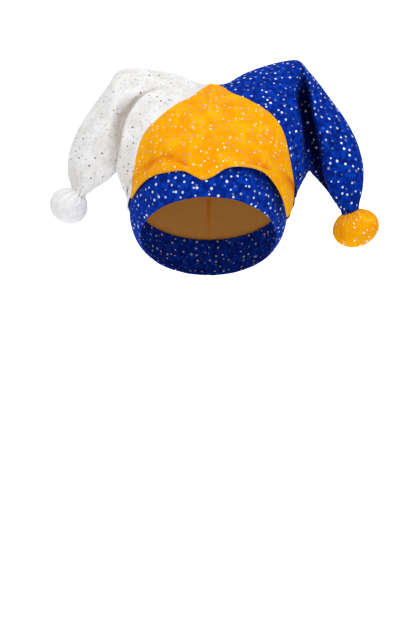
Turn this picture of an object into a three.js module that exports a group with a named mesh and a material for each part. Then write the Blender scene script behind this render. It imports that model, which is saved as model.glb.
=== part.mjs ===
import * as THREE from "three";
import { mergeVertices } from "three/addons/utils/BufferGeometryUtils.js";

// A jester hat in velour: a head band folded double, a crown made of a front face and an equal
// back face, a scalloped gold leaf sewn into each face, and two hollow horns with a pompom each.
// Millimetres, +Z up. The front of the hat looks along -Y and its left horn lies towards -X.
// The origin is the centre of the ring that the band's lower edge makes round the head.

// Cloth and clearances
const CLOTH = 1.6;
const BAND_CLOTH = 2.7;
const SEAM_GAP = 0.3;
const HEM_GAP = 0.5;

// Head band: the hollow that it leaves for the head, at its rim and at its top edge
const RIM_WIDTH = 134;
const RIM_LENGTH = 176;
const TOP_WIDTH = 154;
const TOP_LENGTH = 192;
const BAND_HEIGHT = 45;
const BAND_TILT = 33.5;
const HEM_LAP = 8;

// Crown: its peak, and the way that the plane of the side and top seams leans back
const PEAK_HEIGHT = 150.7;
const PEAK_SHIFT = 3;
const MIDDLE_ANGLE = 3.6;
const SEAM_LEAN = 18;
const SIDE_EASE = 20;
const RIM_CURL_POWER = 4;
const FRONT_FULLNESS = -0.2;
const BACK_FULLNESS = -0.05;
const BACK_FOLD_SHARE = 0.5;
const SHARP_FOLD_STATIONS = 0.7;
const SOFT_FOLD_STATIONS = 0.9;

// Left horn
const LEFT_REACH = 61.4;
const LEFT_CREST = 16.3;
const LEFT_CROTCH = 26.8;
const LEFT_DROP = 124.7;
const LEFT_DEPTH = 42;
const LEFT_SWAY = 8;
const LEFT_FLARE = 0.4;

// Right horn
const RIGHT_REACH = 68.5;
const RIGHT_CREST = 24.1;
const RIGHT_CROTCH = 26.4;
const RIGHT_DROP = 150.1;
const RIGHT_DEPTH = 42;
const RIGHT_SWAY = -8;
const RIGHT_FLARE = 6;

// Leaf: how far its scalloped hem stands off the band
const LEFT_STAND_OFF = 1;
const RIGHT_STAND_OFF = 4.5;
const STAND_OFF_POWER = 0.7;
const FRONT_FLARE_POWER = 2;
const BACK_FLARE_POWER = 8;
const HEM_DRAW_SHARE = 0.6;

// Pompoms: their radius across and along the horn's axis, and the flat where the horn is sewn on
const WHITE_POMPOM_RADIUS = 18.6;
const WHITE_POMPOM_LENGTH = 18;
const GOLD_POMPOM_RADIUS = 22.8;
const GOLD_POMPOM_LENGTH = 19.3;
const POMPOM_SEAT = 2.1;
const POMPOM_PLEATS = 12;
const PLEAT_DEPTH = 0.7;
const PLEAT_START = 0.4;
const POMPOM_RINGS = 12;

// Fineness of the faceted surfaces
const TURN_STEPS = 12;
const CROWN_STEPS = 6;
const HORN_STEPS = 20;
const LEAF_STEPS = 10;
const APRON_STEPS = 5;
const BAND_STEPS = 48;
const EDGE_PROBE = 0.01;

// Colours of the velour
const BLUE = 0x0a3cae;
const GOLD = 0xffa414;
const WHITE = 0xf1f1ef;

// Stations count the sections of a face: 0 at the peak, 5 at the band's side seam, 8 at the crotch
// under the horn and 15 at its neck, where the pompom is sewn on.
const ARCH_STATION = 1.5;

// Top seam, a row for each station. over: share of the way from the middle to the side seam.
// out: share of the horn's reach past it. climb: share of the rise from peak to crest.
// stand: share of the height from neck to crest. belly: share of the horn's depth.
const LEFT_TOP_SEAM = [
  { over: 0, out: 0, climb: 0, stand: 1, belly: 0 },
  { over: 0.15, out: 0, climb: 0.06, stand: 1, belly: 0.05 },
  { over: 0.38, out: 0, climb: 0.56, stand: 1, belly: 0.2 },
  { over: 0.61, out: 0, climb: 0.83, stand: 1, belly: 0.45 },
  { over: 0.81, out: 0, climb: 0.97, stand: 1, belly: 0.75 },
  { over: 0.96, out: 0, climb: 1, stand: 1, belly: 0.95 },
  { over: 1, out: 0.073, climb: 1, stand: 0.993, belly: 1 },
  { over: 1, out: 0.16, climb: 1, stand: 0.98, belly: 1 },
  { over: 1, out: 0.231, climb: 1, stand: 0.944, belly: 0.95 },
  { over: 1, out: 0.393, climb: 1, stand: 0.817, belly: 0.85 },
  { over: 1, out: 0.595, climb: 1, stand: 0.688, belly: 0.75 },
  { over: 1, out: 0.787, climb: 1, stand: 0.545, belly: 0.66 },
  { over: 1, out: 0.928, climb: 1, stand: 0.402, belly: 0.56 },
  { over: 1, out: 1, climb: 1, stand: 0.251, belly: 0.44 },
  { over: 1, out: 0.985, climb: 1, stand: 0.121, belly: 0.28 },
  { over: 1, out: 0.898, climb: 1, stand: 0.034, belly: 0.16 },
];
const RIGHT_TOP_SEAM = [
  { over: 0, out: 0, climb: 0, stand: 1, belly: 0 },
  { over: 0.18, out: 0, climb: 0.03, stand: 1, belly: 0.05 },
  { over: 0.41, out: 0, climb: 0.46, stand: 1, belly: 0.2 },
  { over: 0.65, out: 0, climb: 0.76, stand: 1, belly: 0.45 },
  { over: 0.82, out: 0, climb: 0.91, stand: 1, belly: 0.75 },
  { over: 0.94, out: 0, climb: 0.99, stand: 1, belly: 0.95 },
  { over: 1, out: 0.039, climb: 1, stand: 1, belly: 1 },
  { over: 1, out: 0.114, climb: 1, stand: 0.982, belly: 1 },
  { over: 1, out: 0.195, climb: 1, stand: 0.938, belly: 0.95 },
  { over: 1, out: 0.341, climb: 1, stand: 0.858, belly: 0.85 },
  { over: 1, out: 0.552, climb: 1, stand: 0.731, belly: 0.75 },
  { over: 1, out: 0.76, climb: 1, stand: 0.597, belly: 0.66 },
  { over: 1, out: 0.921, climb: 1, stand: 0.451, belly: 0.56 },
  { over: 1, out: 1, climb: 1, stand: 0.287, belly: 0.44 },
  { over: 1, out: 0.978, climb: 1, stand: 0.137, belly: 0.28 },
  { over: 1, out: 0.894, climb: 1, stand: 0.016, belly: 0.16 },
];

// Seam under the horn, from the side seam at the band to the neck. out: share of the reach.
// climb: share of the rise from band to crotch. stand: share of the height from neck to crotch.
const LEFT_UNDER_SEAM = [
  { out: 0, climb: 0, stand: 1 },
  { out: 0.068, climb: 0.3, stand: 1 },
  { out: 0.128, climb: 0.68, stand: 1 },
  { out: 0.175, climb: 1, stand: 1 },
  { out: 0.223, climb: 1, stand: 0.857 },
  { out: 0.288, climb: 1, stand: 0.697 },
  { out: 0.368, climb: 1, stand: 0.505 },
  { out: 0.457, climb: 1, stand: 0.332 },
  { out: 0.541, climb: 1, stand: 0.177 },
  { out: 0.626, climb: 1, stand: 0.013 },
  { out: 0.721, climb: 1, stand: -0.195 },
];
const RIGHT_UNDER_SEAM = [
  { out: 0, climb: 0, stand: 1 },
  { out: 0.056, climb: 0.35, stand: 1 },
  { out: 0.125, climb: 0.68, stand: 1 },
  { out: 0.203, climb: 1, stand: 1 },
  { out: 0.256, climb: 1, stand: 0.923 },
  { out: 0.324, climb: 1, stand: 0.798 },
  { out: 0.398, climb: 1, stand: 0.659 },
  { out: 0.474, climb: 1, stand: 0.5 },
  { out: 0.544, climb: 1, stand: 0.319 },
  { out: 0.619, climb: 1, stand: 0.129 },
  { out: 0.705, climb: 1, stand: -0.063 },
];
const NECK_STATION = LEFT_TOP_SEAM.length - 1;
const SIDE_STATION = NECK_STATION - (LEFT_UNDER_SEAM.length - 1);

// Folds that the hanging horn presses into its face, a row for each share of the section's height.
// start and end: stations of the hollow's two edges. deep: share of the face's depth pressed in.
const LEFT_FOLD = [
  { up: 0, start: 8, end: 9.5, deep: 0.2 },
  { up: 0.2, start: 7, end: 9, deep: 0.42 },
  { up: 0.43, start: 6, end: 8.2, deep: 0.48 },
  { up: 0.63, start: 5, end: 7.5, deep: 0.46 },
  { up: 0.78, start: 4, end: 6.5, deep: 0.34 },
  { up: 0.86, start: 3, end: 5.5, deep: 0.12 },
  { up: 1, start: 2.6, end: 5, deep: 0 },
];
const RIGHT_FOLD = [
  { up: 0, start: 8, end: 13, deep: 0.3 },
  { up: 0.13, start: 7.6, end: 11, deep: 0.6 },
  { up: 0.31, start: 7.1, end: 10, deep: 0.75 },
  { up: 0.5, start: 6.6, end: 9.3, deep: 0.75 },
  { up: 0.7, start: 5.9, end: 8.6, deep: 0.65 },
  { up: 0.86, start: 5.9, end: 7.7, deep: 0.35 },
  { up: 1, start: 5.9, end: 7.2, deep: 0 },
];

// Outer edge of a leaf, in rows an even way apart from the band to the top seam. turn: share of
// the way up the face. station: how far out the edge lies.
const LEFT_LEAF_EDGE = [
  { turn: 0, station: 3.68 },
  { turn: 0.12, station: 3.61 },
  { turn: 0.24, station: 3.52 },
  { turn: 0.31, station: 3.36 },
  { turn: 0.345, station: 3.03 },
  { turn: 0.37, station: 2.5 },
  { turn: 0.415, station: 2.05 },
  { turn: 0.5, station: 1.55 },
  { turn: 0.6, station: 1.12 },
  { turn: 0.73, station: 0.78 },
  { turn: 0.87, station: 0.45 },
  { turn: 1, station: 0.15 },
];
const RIGHT_LEAF_EDGE = [
  { turn: 0, station: 4.42 },
  { turn: 0.07, station: 4.36 },
  { turn: 0.145, station: 4.27 },
  { turn: 0.225, station: 4.1 },
  { turn: 0.285, station: 3.94 },
  { turn: 0.345, station: 3.81 },
  { turn: 0.39, station: 3.6 },
  { turn: 0.41, station: 3.3 },
  { turn: 0.43, station: 2.75 },
  { turn: 0.48, station: 2.1 },
  { turn: 0.6, station: 1.4 },
  { turn: 0.8, station: 0.85 },
  { turn: 1, station: 0.5 },
];

// Scalloped hem of a leaf. along: share of the way from the middle to the outer tip.
// level: place on the band, from its rim, 0, to its top edge, 1.
const LEFT_SCALLOP = [
  { along: 0, level: 0.29 },
  { along: 0.1, level: 0.4 },
  { along: 0.2, level: 0.54 },
  { along: 0.4, level: 0.61 },
  { along: 0.6, level: 0.66 },
  { along: 0.75, level: 0.64 },
  { along: 0.9, level: 0.59 },
  { along: 1, level: 0.55 },
];
const RIGHT_SCALLOP = [
  { along: 0, level: 0.29 },
  { along: 0.1, level: 0.37 },
  { along: 0.2, level: 0.54 },
  { along: 0.3, level: 0.63 },
  { along: 0.4, level: 0.67 },
  { along: 0.5, level: 0.69 },
  { along: 0.6, level: 0.66 },
  { along: 0.7, level: 0.53 },
  { along: 0.8, level: 0.36 },
  { along: 0.9, level: 0.19 },
  { along: 1, level: 0.07 },
];

// Station of the hem's outer tip, as a share of the station of the leaf's edge at the band
const LEFT_TIP_SHARE = 1.016;
const RIGHT_TIP_SHARE = 0.86;

// Section of the folded band: level on the band and share of its cloth
const BAND_SECTION = [
  { level: 0, out: 0.7 },
  { level: 0.05, out: 1 },
  { level: 0.2, out: 1 },
  { level: 0.42, out: 1 },
  { level: 0.7, out: 1 },
  { level: 0.96, out: 1 },
  { level: 1, out: 0.5 },
  { level: 0.96, out: 0 },
  { level: 0.6, out: 0 },
  { level: 0.25, out: 0 },
  { level: 0.06, out: 0 },
  { level: 0, out: 0.3 },
];

const { clamp, degToRad, lerp, smoothstep } = THREE.MathUtils;
const FRONT = 1;
const BACK = -1;
const MIDDLE_BEARING = 90;
const FULL_TURN = 360;
const LAP_LEVEL = 1 - HEM_LAP / BAND_HEIGHT;
const TILT = degToRad(BAND_TILT);
const LEAN = degToRad(SEAM_LEAN);

// Smooth value of a table's column at a place counted in rows, through every row.
function between(rows, column, place) {
  const first = clamp(Math.floor(place), 0, rows.length - 2);
  const part = place - first;
  const at = (row) => rows[clamp(row, 0, rows.length - 1)][column];
  const [before, here, next, after] = [at(first - 1), at(first), at(first + 1), at(first + 2)];
  const bend = 2 * before - 5 * here + 4 * next - after;
  const swing = 3 * (here - next) + after - before;
  return here + 0.5 * part * (next - before + part * (bend + part * swing));
}

// Smooth value of a table's column at a value of its key column.
function lookUp(rows, key, column, value) {
  let row = 0;
  while (row < rows.length - 2 && value > rows[row + 1][key]) row += 1;
  const share = (value - rows[row][key]) / (rows[row + 1][key] - rows[row][key]);
  return between(rows, column, row + clamp(share, 0, 1));
}

// Point on the band at a level from its rim, 0, to its top edge, 1. The bearing is 90 degrees at
// the front, 0 at the right and negative round the back. The outset is measured from the hollow.
function ringPoint(level, bearing, outset) {
  const spread = 1 - (1 - level) ** RIM_CURL_POWER;
  const across = lerp(RIM_WIDTH, TOP_WIDTH, spread) / 2 + outset;
  const along = lerp(RIM_LENGTH, TOP_LENGTH, spread) / 2 + outset;
  const rise = level * BAND_HEIGHT;
  const forward = along * Math.sin(degToRad(bearing));
  return new THREE.Vector3(
    across * Math.cos(degToRad(bearing)),
    rise * Math.sin(TILT) - forward * Math.cos(TILT),
    rise * Math.cos(TILT) + forward * Math.sin(TILT),
  );
}

const SIDE_POINT = ringPoint(1, 0, 0);

const LEFT_HEM = { scallop: LEFT_SCALLOP, tipShare: LEFT_TIP_SHARE, standOff: LEFT_STAND_OFF };
const RIGHT_HEM = { scallop: RIGHT_SCALLOP, tipShare: RIGHT_TIP_SHARE, standOff: RIGHT_STAND_OFF };
const BACK_RIGHT_HEM = { ...LEFT_HEM, tipShare: RIGHT_TIP_SHARE };
const LEFT_HORN = {
  side: -1,
  reach: LEFT_REACH,
  crest: LEFT_CREST,
  crotch: LEFT_CROTCH,
  drop: LEFT_DROP,
  depth: LEFT_DEPTH,
  sway: LEFT_SWAY,
  flare: LEFT_FLARE,
  topSeam: LEFT_TOP_SEAM,
  underSeam: LEFT_UNDER_SEAM,
  fold: LEFT_FOLD,
  foldEnter: SHARP_FOLD_STATIONS,
  foldLeave: SOFT_FOLD_STATIONS,
  leafEdge: LEFT_LEAF_EDGE,
};
const RIGHT_HORN = {
  side: 1,
  reach: RIGHT_REACH,
  crest: RIGHT_CREST,
  crotch: RIGHT_CROTCH,
  drop: RIGHT_DROP,
  depth: RIGHT_DEPTH,
  sway: RIGHT_SWAY,
  flare: RIGHT_FLARE,
  topSeam: RIGHT_TOP_SEAM,
  underSeam: RIGHT_UNDER_SEAM,
  fold: RIGHT_FOLD,
  foldEnter: SOFT_FOLD_STATIONS,
  foldLeave: SHARP_FOLD_STATIONS,
  leafEdge: RIGHT_LEAF_EDGE,
};

// Bearing on the band below a station of the crown. The middle seam of the front is worn a little
// way round to the left.
function bearingOf(horn, face, station) {
  const middle = MIDDLE_BEARING + (face === FRONT ? horn.side * MIDDLE_ANGLE : 0);
  return (clamp(SIDE_STATION - station, -SIDE_STATION, SIDE_STATION) * middle) / SIDE_STATION;
}

// Outset of the outer face of the crown's hem, which stands further off the band at its sides,
// round the front more than round the back.
function hemOutset(horn, face, bearing) {
  const spread = Math.cos(degToRad(bearing)) ** (face === FRONT ? FRONT_FLARE_POWER : BACK_FLARE_POWER);
  return BAND_CLOTH + HEM_GAP + CLOTH + horn.flare * spread;
}

// The two ends of a face's section, as x and z in the plane of the seams.
function sectionEnds(horn, face, station) {
  const sideX = SIDE_POINT.x + hemOutset(horn, face, 0);
  const crest = PEAK_HEIGHT + horn.crest;
  const neck = crest - horn.drop;
  const crotch = SIDE_POINT.z + horn.crotch;
  const seam = (column) => between(horn.topSeam, column, station);
  const top = {
    x: seam("over") * sideX + seam("out") * horn.reach,
    z: lerp(neck, lerp(PEAK_HEIGHT, crest, seam("climb")), seam("stand")),
  };
  if (station <= SIDE_STATION) {
    const bearing = bearingOf(horn, face, station);
    return { top, foot: ringPoint(1, face * bearing, hemOutset(horn, face, bearing)) };
  }
  const under = (column) => between(horn.underSeam, column, station - SIDE_STATION);
  const foot = {
    x: sideX + under("out") * horn.reach,
    z: lerp(neck, lerp(SIDE_POINT.z, crotch, under("climb")), under("stand")),
  };
  return { top, foot };
}

// Where the plane of the seams lies in depth, with the horn's sway past the side of the head.
function seamDepth(horn, x, z) {
  const past = Math.max(0, (Math.abs(x) - SIDE_POINT.x - hemOutset(horn, FRONT, 0)) / horn.reach);
  return SIDE_POINT.y + (z - SIDE_POINT.z) * Math.tan(LEAN) + horn.sway * past ** 2;
}

// Share of a face's depth that the hanging horn's fold takes away.
function foldShare(horn, face, station, up) {
  const at = (column) => lookUp(horn.fold, "up", column, up);
  const [start, end, deep] = [at("start"), at("end"), at("deep")];
  const enter = smoothstep(station, start - horn.foldEnter, start + horn.foldEnter);
  const leave = smoothstep(station, end - horn.foldLeave, end + horn.foldLeave);
  return deep * enter * (1 - leave) * (face === FRONT ? 1 : BACK_FOLD_SHARE);
}

// Sideways drift of the crown's peak.
function peakDrift(x, up) {
  return PEAK_SHIFT * up ** 3 * Math.max(0, 1 - Math.abs(x) / SIDE_POINT.x);
}

// Depth that a face keeps from the band's roundness, easing out past the side seam.
function bandDepth(horn, face, station, bulge) {
  const bearing = bearingOf(horn, face, station);
  const along = (TOP_LENGTH / 2 + hemOutset(horn, face, bearing)) * Math.sin(degToRad(bearing));
  const depth = (along * Math.cos(TILT - LEAN)) / Math.cos(LEAN);
  return (depth + Math.hypot(depth, SIDE_EASE * bulge)) / 2;
}

// Point on the outer side of a face. turn runs from 0, at the band or the seam under the horn, to
// 1, at the top seam.
function facePoint(horn, face, station, turn) {
  const { top, foot } = sectionEnds(horn, face, station);
  const bulge = Math.sin(turn * Math.PI);
  const arch = Math.sin((turn * Math.PI) / 2);
  const round = (1 - Math.cos(turn * Math.PI)) / 2;
  const up = lerp(arch, round, smoothstep(station, ARCH_STATION, SIDE_STATION));
  const fullness = face === FRONT ? FRONT_FULLNESS : BACK_FULLNESS;
  const fall = Math.cos((turn * Math.PI) / 2) + fullness * bulge;
  const belly = horn.depth * between(horn.topSeam, "belly", station) * bulge;
  const fold = foldShare(horn, face, station, up) * Math.sqrt(Math.max(bulge, 0));
  const depth = (bandDepth(horn, face, station, bulge) * fall + belly) * (1 - fold);
  const flatX = lerp(foot.x, top.x, up);
  const z = lerp(foot.z, top.z, up);
  const x = horn.side * flatX + peakDrift(flatX, up);
  return new THREE.Vector3(x, seamDepth(horn, x, z) - face * Math.max(depth, SEAM_GAP / 2), z);
}

// Point on the hem that hangs over the band, at a station and a level of the band. Beside the leaf
// the hem draws in below the band's top edge.
function hemPoint(horn, face, station, level, standOff) {
  const bearing = bearingOf(horn, face, station);
  const beside = smoothstep(station, horn.leafEdge[0].station, SIDE_STATION);
  const drawn = HEM_DRAW_SHARE * beside * (1 - smoothstep(level, LAP_LEVEL, 1));
  const outset = lerp(hemOutset(horn, face, bearing), hemOutset(horn, face, MIDDLE_BEARING), drawn);
  const point = ringPoint(level, face * bearing, outset + standOff);
  return point.setX(horn.side * point.x);
}

// Keeps a point on its own face's side of the seams' plane.
function keepToFace(horn, face, point) {
  const limit = seamDepth(horn, point.x, point.z) - (face * SEAM_GAP) / 2;
  point.y = face === FRONT ? Math.min(point.y, limit) : Math.max(point.y, limit);
  return point;
}

// Where a horn ends: the middle of its neck, and the way that it points.
function neckFrame(horn) {
  const top = facePoint(horn, FRONT, NECK_STATION, 1);
  const under = facePoint(horn, FRONT, NECK_STATION, 0);
  const centre = top.clone().add(under).multiplyScalar(0.5);
  centre.y += SEAM_GAP / 2;
  const across = top.clone().sub(under);
  const axis = new THREE.Vector3(0, 1, 0).cross(across).multiplyScalar(horn.side).normalize();
  return { centre, axis };
}

// Outward direction of a sheet at one of its points, from the points round it.
function outwardAt(sheet, row, column, turnOver) {
  const point = (r, c) => sheet[r]?.[c] ?? sheet[row][column];
  const along = point(row, column + 1).clone().sub(point(row, column - 1));
  const up = point(row + 1, column).clone().sub(point(row - 1, column));
  return along.cross(up).multiplyScalar(turnOver).normalize();
}

// Gives a face's sheet its thickness: the points of its inner side. The wall is square to the
// plane of the seams along them, and square to the horn's axis at its neck.
function innerSide(sheet, horn, face) {
  const { axis } = neckFrame(horn);
  return sheet.map((row, r) =>
    row.map((point, c) => {
      if (!point) return null;
      const outward = point.outward?.clone() ?? outwardAt(sheet, r, c, horn.side * face);
      const seamed = Math.abs(point.y - seamDepth(horn, point.x, point.z)) < SEAM_GAP;
      if (seamed) outward.setY(0).normalize();
      if (point.neck) outward.addScaledVector(axis, -outward.dot(axis)).normalize();
      const inside = keepToFace(horn, face, point.clone().addScaledVector(outward, -CLOTH));
      if (seamed) inside.y = seamDepth(horn, inside.x, inside.z) - (face * SEAM_GAP) / 2;
      return inside;
    }),
  );
}

// Closed body from points and triangles, with its faces turned outwards.
function closedBody(points, triangles) {
  const volume = triangles.reduce((sum, [a, b, c]) => {
    return sum + points[a].dot(points[b].clone().cross(points[c]));
  }, 0);
  const outward = volume < 0 ? triangles.map(([a, b, c]) => [a, c, b]) : triangles;
  const geometry = new THREE.BufferGeometry().setFromPoints(points);
  geometry.setIndex(outward.flat());
  geometry.computeVertexNormals();
  return geometry;
}

// Closed cloth wall between the outer and the inner points of a sheet. A sheet has a hole wherever
// a point is null, and every edge of it gets a face across the wall's thickness.
function clothWall(outer, inner) {
  const points = [];
  const names = outer.map((row) => row.map((point) => (point ? points.push(point) - 1 : -1)));
  const inward = points.length;
  inner.flat().filter(Boolean).forEach((point) => points.push(point));
  const triangles = [];
  const sides = new Map();
  for (let r = 0; r < names.length - 1; r += 1) {
    for (let c = 0; c < names[r].length - 1; c += 1) {
      const loop = [names[r][c], names[r][c + 1], names[r + 1][c + 1], names[r + 1][c]];
      if (loop.includes(-1)) continue;
      const [a, b, d, e] = loop;
      triangles.push([a, b, d], [a, d, e]);
      triangles.push([a + inward, d + inward, b + inward], [a + inward, e + inward, d + inward]);
      loop.forEach((from, k) => {
        const to = loop[(k + 1) % loop.length];
        if (!sides.delete(`${to} ${from}`)) sides.set(`${from} ${to}`, [from, to]);
      });
    }
  }
  for (const [from, to] of sides.values()) {
    if (from < to) triangles.push([to, from, to + inward], [from, from + inward, to + inward]);
    else triangles.push([to, from, from + inward], [to, from + inward, to + inward]);
  }
  return closedBody(points, triangles);
}

// Row of a leaf's outer edge, counted from 0 at the band to 1 at the top seam.
function edgeRow(horn, share) {
  const place = share * (horn.leafEdge.length - 1);
  return {
    turn: clamp(between(horn.leafEdge, "turn", place), 0, 1),
    station: between(horn.leafEdge, "station", place),
  };
}

// Line on which a leaf and a horn panel meet, from the lap over the band up to the top seam: each
// point with the way out of the hat and the way from the leaf to the horn.
function edgeLine(horn, face) {
  const foot = edgeRow(horn, 0).station;
  const spots = [(shift) => hemPoint(horn, face, foot + shift, LAP_LEVEL, 0)];
  for (let row = 0; row <= TURN_STEPS; row += 1) {
    const { turn, station } = edgeRow(horn, row / TURN_STEPS);
    spots.push((shift) => facePoint(horn, face, station + shift, turn));
  }
  const last = spots.length - 1;
  return spots.map((spot, i) => {
    const place = spot(0);
    const across = spot(EDGE_PROBE).sub(spot(-EDGE_PROBE)).normalize();
    const up = spots[Math.min(i + 1, last)](0).sub(spots[Math.max(i - 1, 0)](0)).normalize();
    const outward = across.clone().cross(up).multiplyScalar(horn.side * face).normalize();
    const toHorn = i === last ? across : up.clone().cross(outward).multiplyScalar(horn.side * face);
    return { place, outward, toHorn };
  });
}

// Point of a piece's edge on that line, drawn back by half the seam's gap.
function edgePoint({ place, outward, toHorn }, way) {
  const point = place.clone().addScaledVector(toHorn, (way * SEAM_GAP) / 2);
  point.outward = outward;
  return point;
}

// Horn panel: one face from the leaf's outer edge to the horn's neck. Its first row laps over the
// band as far as the side seam.
function hornPanel(horn, face) {
  const columns = CROWN_STEPS + HORN_STEPS;
  const edge = edgeLine(horn, face);
  const stationAt = (start, column) => {
    if (column <= CROWN_STEPS) return lerp(start, SIDE_STATION, column / CROWN_STEPS);
    return lerp(SIDE_STATION, NECK_STATION, (column - CROWN_STEPS) / HORN_STEPS);
  };
  const lap = [edgePoint(edge[0], 1)];
  for (let column = 1; column <= columns; column += 1) {
    const station = stationAt(edgeRow(horn, 0).station, column);
    lap.push(column > CROWN_STEPS ? null : hemPoint(horn, face, station, LAP_LEVEL, 0));
  }
  lap[CROWN_STEPS].y -= (face * SEAM_GAP) / 2;
  const sheet = [lap];
  for (let row = 0; row <= TURN_STEPS; row += 1) {
    const share = row / TURN_STEPS;
    const { turn, station } = edgeRow(horn, share);
    const points = [edgePoint(edge[row + 1], 1)];
    for (let column = 1; column <= columns; column += 1) {
      const place = lerp(turn, share, Math.min(1, column / CROWN_STEPS));
      points.push(facePoint(horn, face, stationAt(station, column), place));
    }
    points[columns].neck = true;
    sheet.push(points);
  }
  return clothWall(sheet, innerSide(sheet, horn, face));
}

// Leaf half: one face from the middle seam to the leaf's outer edge, and the scalloped hem that
// hangs from it over the band.
function leafHalf(horn, face, hem) {
  const edge = edgeLine(horn, face);
  const foot = edgeRow(horn, 0).station;
  const shares = Array.from({ length: LEAF_STEPS + 1 }, (_, column) => column / LEAF_STEPS);
  const sheet = [];
  for (let row = 0; row <= APRON_STEPS; row += 1) {
    const down = 1 - row / APRON_STEPS;
    sheet.push(shares.map((along) => {
      const level = lerp(LAP_LEVEL, lookUp(hem.scallop, "along", "level", along), down);
      const station = along * foot * lerp(1, hem.tipShare, Math.sqrt(down));
      return hemPoint(horn, face, station, level, hem.standOff * down * along ** STAND_OFF_POWER);
    }));
  }
  for (let row = 0; row <= TURN_STEPS; row += 1) {
    const share = row / TURN_STEPS;
    const { turn, station } = edgeRow(horn, share);
    const middle = (turn + share) / 2;
    sheet.push(shares.map((along) => facePoint(horn, face, along * station, lerp(middle, turn, along))));
  }
  sheet.forEach((points, row) => {
    points[0].outward = outwardAt(sheet, row, 0, horn.side * face).setX(0).normalize();
    points[0].x += (horn.side * SEAM_GAP) / 2;
    if (row >= APRON_STEPS) points[LEAF_STEPS] = edgePoint(edge[row - APRON_STEPS], -1);
  });
  return clothWall(sheet, innerSide(sheet, horn, face));
}

// Head band: its section is carried round the head.
function headBand() {
  const points = [];
  const triangles = [];
  const rows = BAND_SECTION.length;
  for (let step = 0; step < BAND_STEPS; step += 1) {
    for (const { level, out } of BAND_SECTION) {
      points.push(ringPoint(level, (FULL_TURN * step) / BAND_STEPS, out * BAND_CLOTH));
    }
    for (let row = 0; row < rows; row += 1) {
      const here = step * rows;
      const ahead = ((step + 1) % BAND_STEPS) * rows;
      const next = (row + 1) % rows;
      triangles.push([here + row, ahead + row, ahead + next], [here + row, ahead + next, here + next]);
    }
  }
  return closedBody(points, triangles);
}

// Pompom: a gathered ball, flat where the horn is sewn to it, with pleats that run to that flat.
// Its own Y axis points back at the horn.
function pompomBall(radius, length) {
  const ball = new THREE.SphereGeometry(1, 2 * POMPOM_PLEATS, POMPOM_RINGS);
  ball.deleteAttribute("normal");
  ball.deleteAttribute("uv");
  const seat = length - POMPOM_SEAT;
  const place = ball.getAttribute("position");
  const point = new THREE.Vector3();
  for (let i = 0; i < place.count; i += 1) {
    point.fromBufferAttribute(place, i);
    const toPole = Math.abs(point.y);
    const pleat = Math.cos(POMPOM_PLEATS * Math.atan2(point.z, point.x)) * smoothstep(toPole, PLEAT_START, 1);
    const wide = radius + PLEAT_DEPTH * (pleat - toPole);
    place.setXYZ(i, point.x * wide, Math.min(point.y * length, seat), point.z * wide);
  }
  const geometry = mergeVertices(ball);
  geometry.computeVertexNormals();
  return geometry;
}

// Velour in one of the hat's colours.
function velour(colour) {
  return new THREE.MeshStandardMaterial({ color: colour, roughness: 0.85, metalness: 0 });
}

const hat = new THREE.Group();

// Adds a named piece to the hat.
function addPiece(name, geometry, colour) {
  const piece = new THREE.Mesh(geometry, velour(colour));
  piece.name = name;
  hat.add(piece);
  return piece;
}

// Adds a pompom on the end of a horn.
function addPompom(name, horn, radius, length, colour) {
  const { centre, axis } = neckFrame(horn);
  const pompom = addPiece(name, pompomBall(radius, length), colour);
  pompom.position.copy(centre).addScaledVector(axis, SEAM_GAP + length - POMPOM_SEAT);
  pompom.quaternion.setFromUnitVectors(new THREE.Vector3(0, 1, 0), axis.clone().negate());
}

addPiece("head_band", headBand(), BLUE);
addPiece("front_leaf_left_half", leafHalf(LEFT_HORN, FRONT, LEFT_HEM), GOLD);
addPiece("front_leaf_right_half", leafHalf(RIGHT_HORN, FRONT, RIGHT_HEM), GOLD);
addPiece("back_leaf_left_half", leafHalf(LEFT_HORN, BACK, LEFT_HEM), GOLD);
addPiece("back_leaf_right_half", leafHalf(RIGHT_HORN, BACK, BACK_RIGHT_HEM), GOLD);
addPiece("left_horn_front_panel", hornPanel(LEFT_HORN, FRONT), WHITE);
addPiece("left_horn_back_panel", hornPanel(LEFT_HORN, BACK), BLUE);
addPiece("right_horn_front_panel", hornPanel(RIGHT_HORN, FRONT), BLUE);
addPiece("right_horn_back_panel", hornPanel(RIGHT_HORN, BACK), WHITE);
addPompom("white_pompom", LEFT_HORN, WHITE_POMPOM_RADIUS, WHITE_POMPOM_LENGTH, WHITE);
addPompom("gold_pompom", RIGHT_HORN, GOLD_POMPOM_RADIUS, GOLD_POMPOM_LENGTH, GOLD);

export default hat;
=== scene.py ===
"""A jester hat in dotted velour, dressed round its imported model.

Forms are worked out in millimetres in the hat's own frame, +Z up, with the front towards -Y and
the origin in the middle of the head band's rim. A mesh is turned into metres once it's finished.
"""

import logging
import math
from collections.abc import Callable, Iterable
from dataclasses import dataclass, field, replace
from enum import Enum

import bmesh
import bpy
from bmesh.types import BMEdge, BMFace, BMVert
from mathutils import Matrix, Vector, noise
from mathutils.kdtree import KDTree


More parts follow.
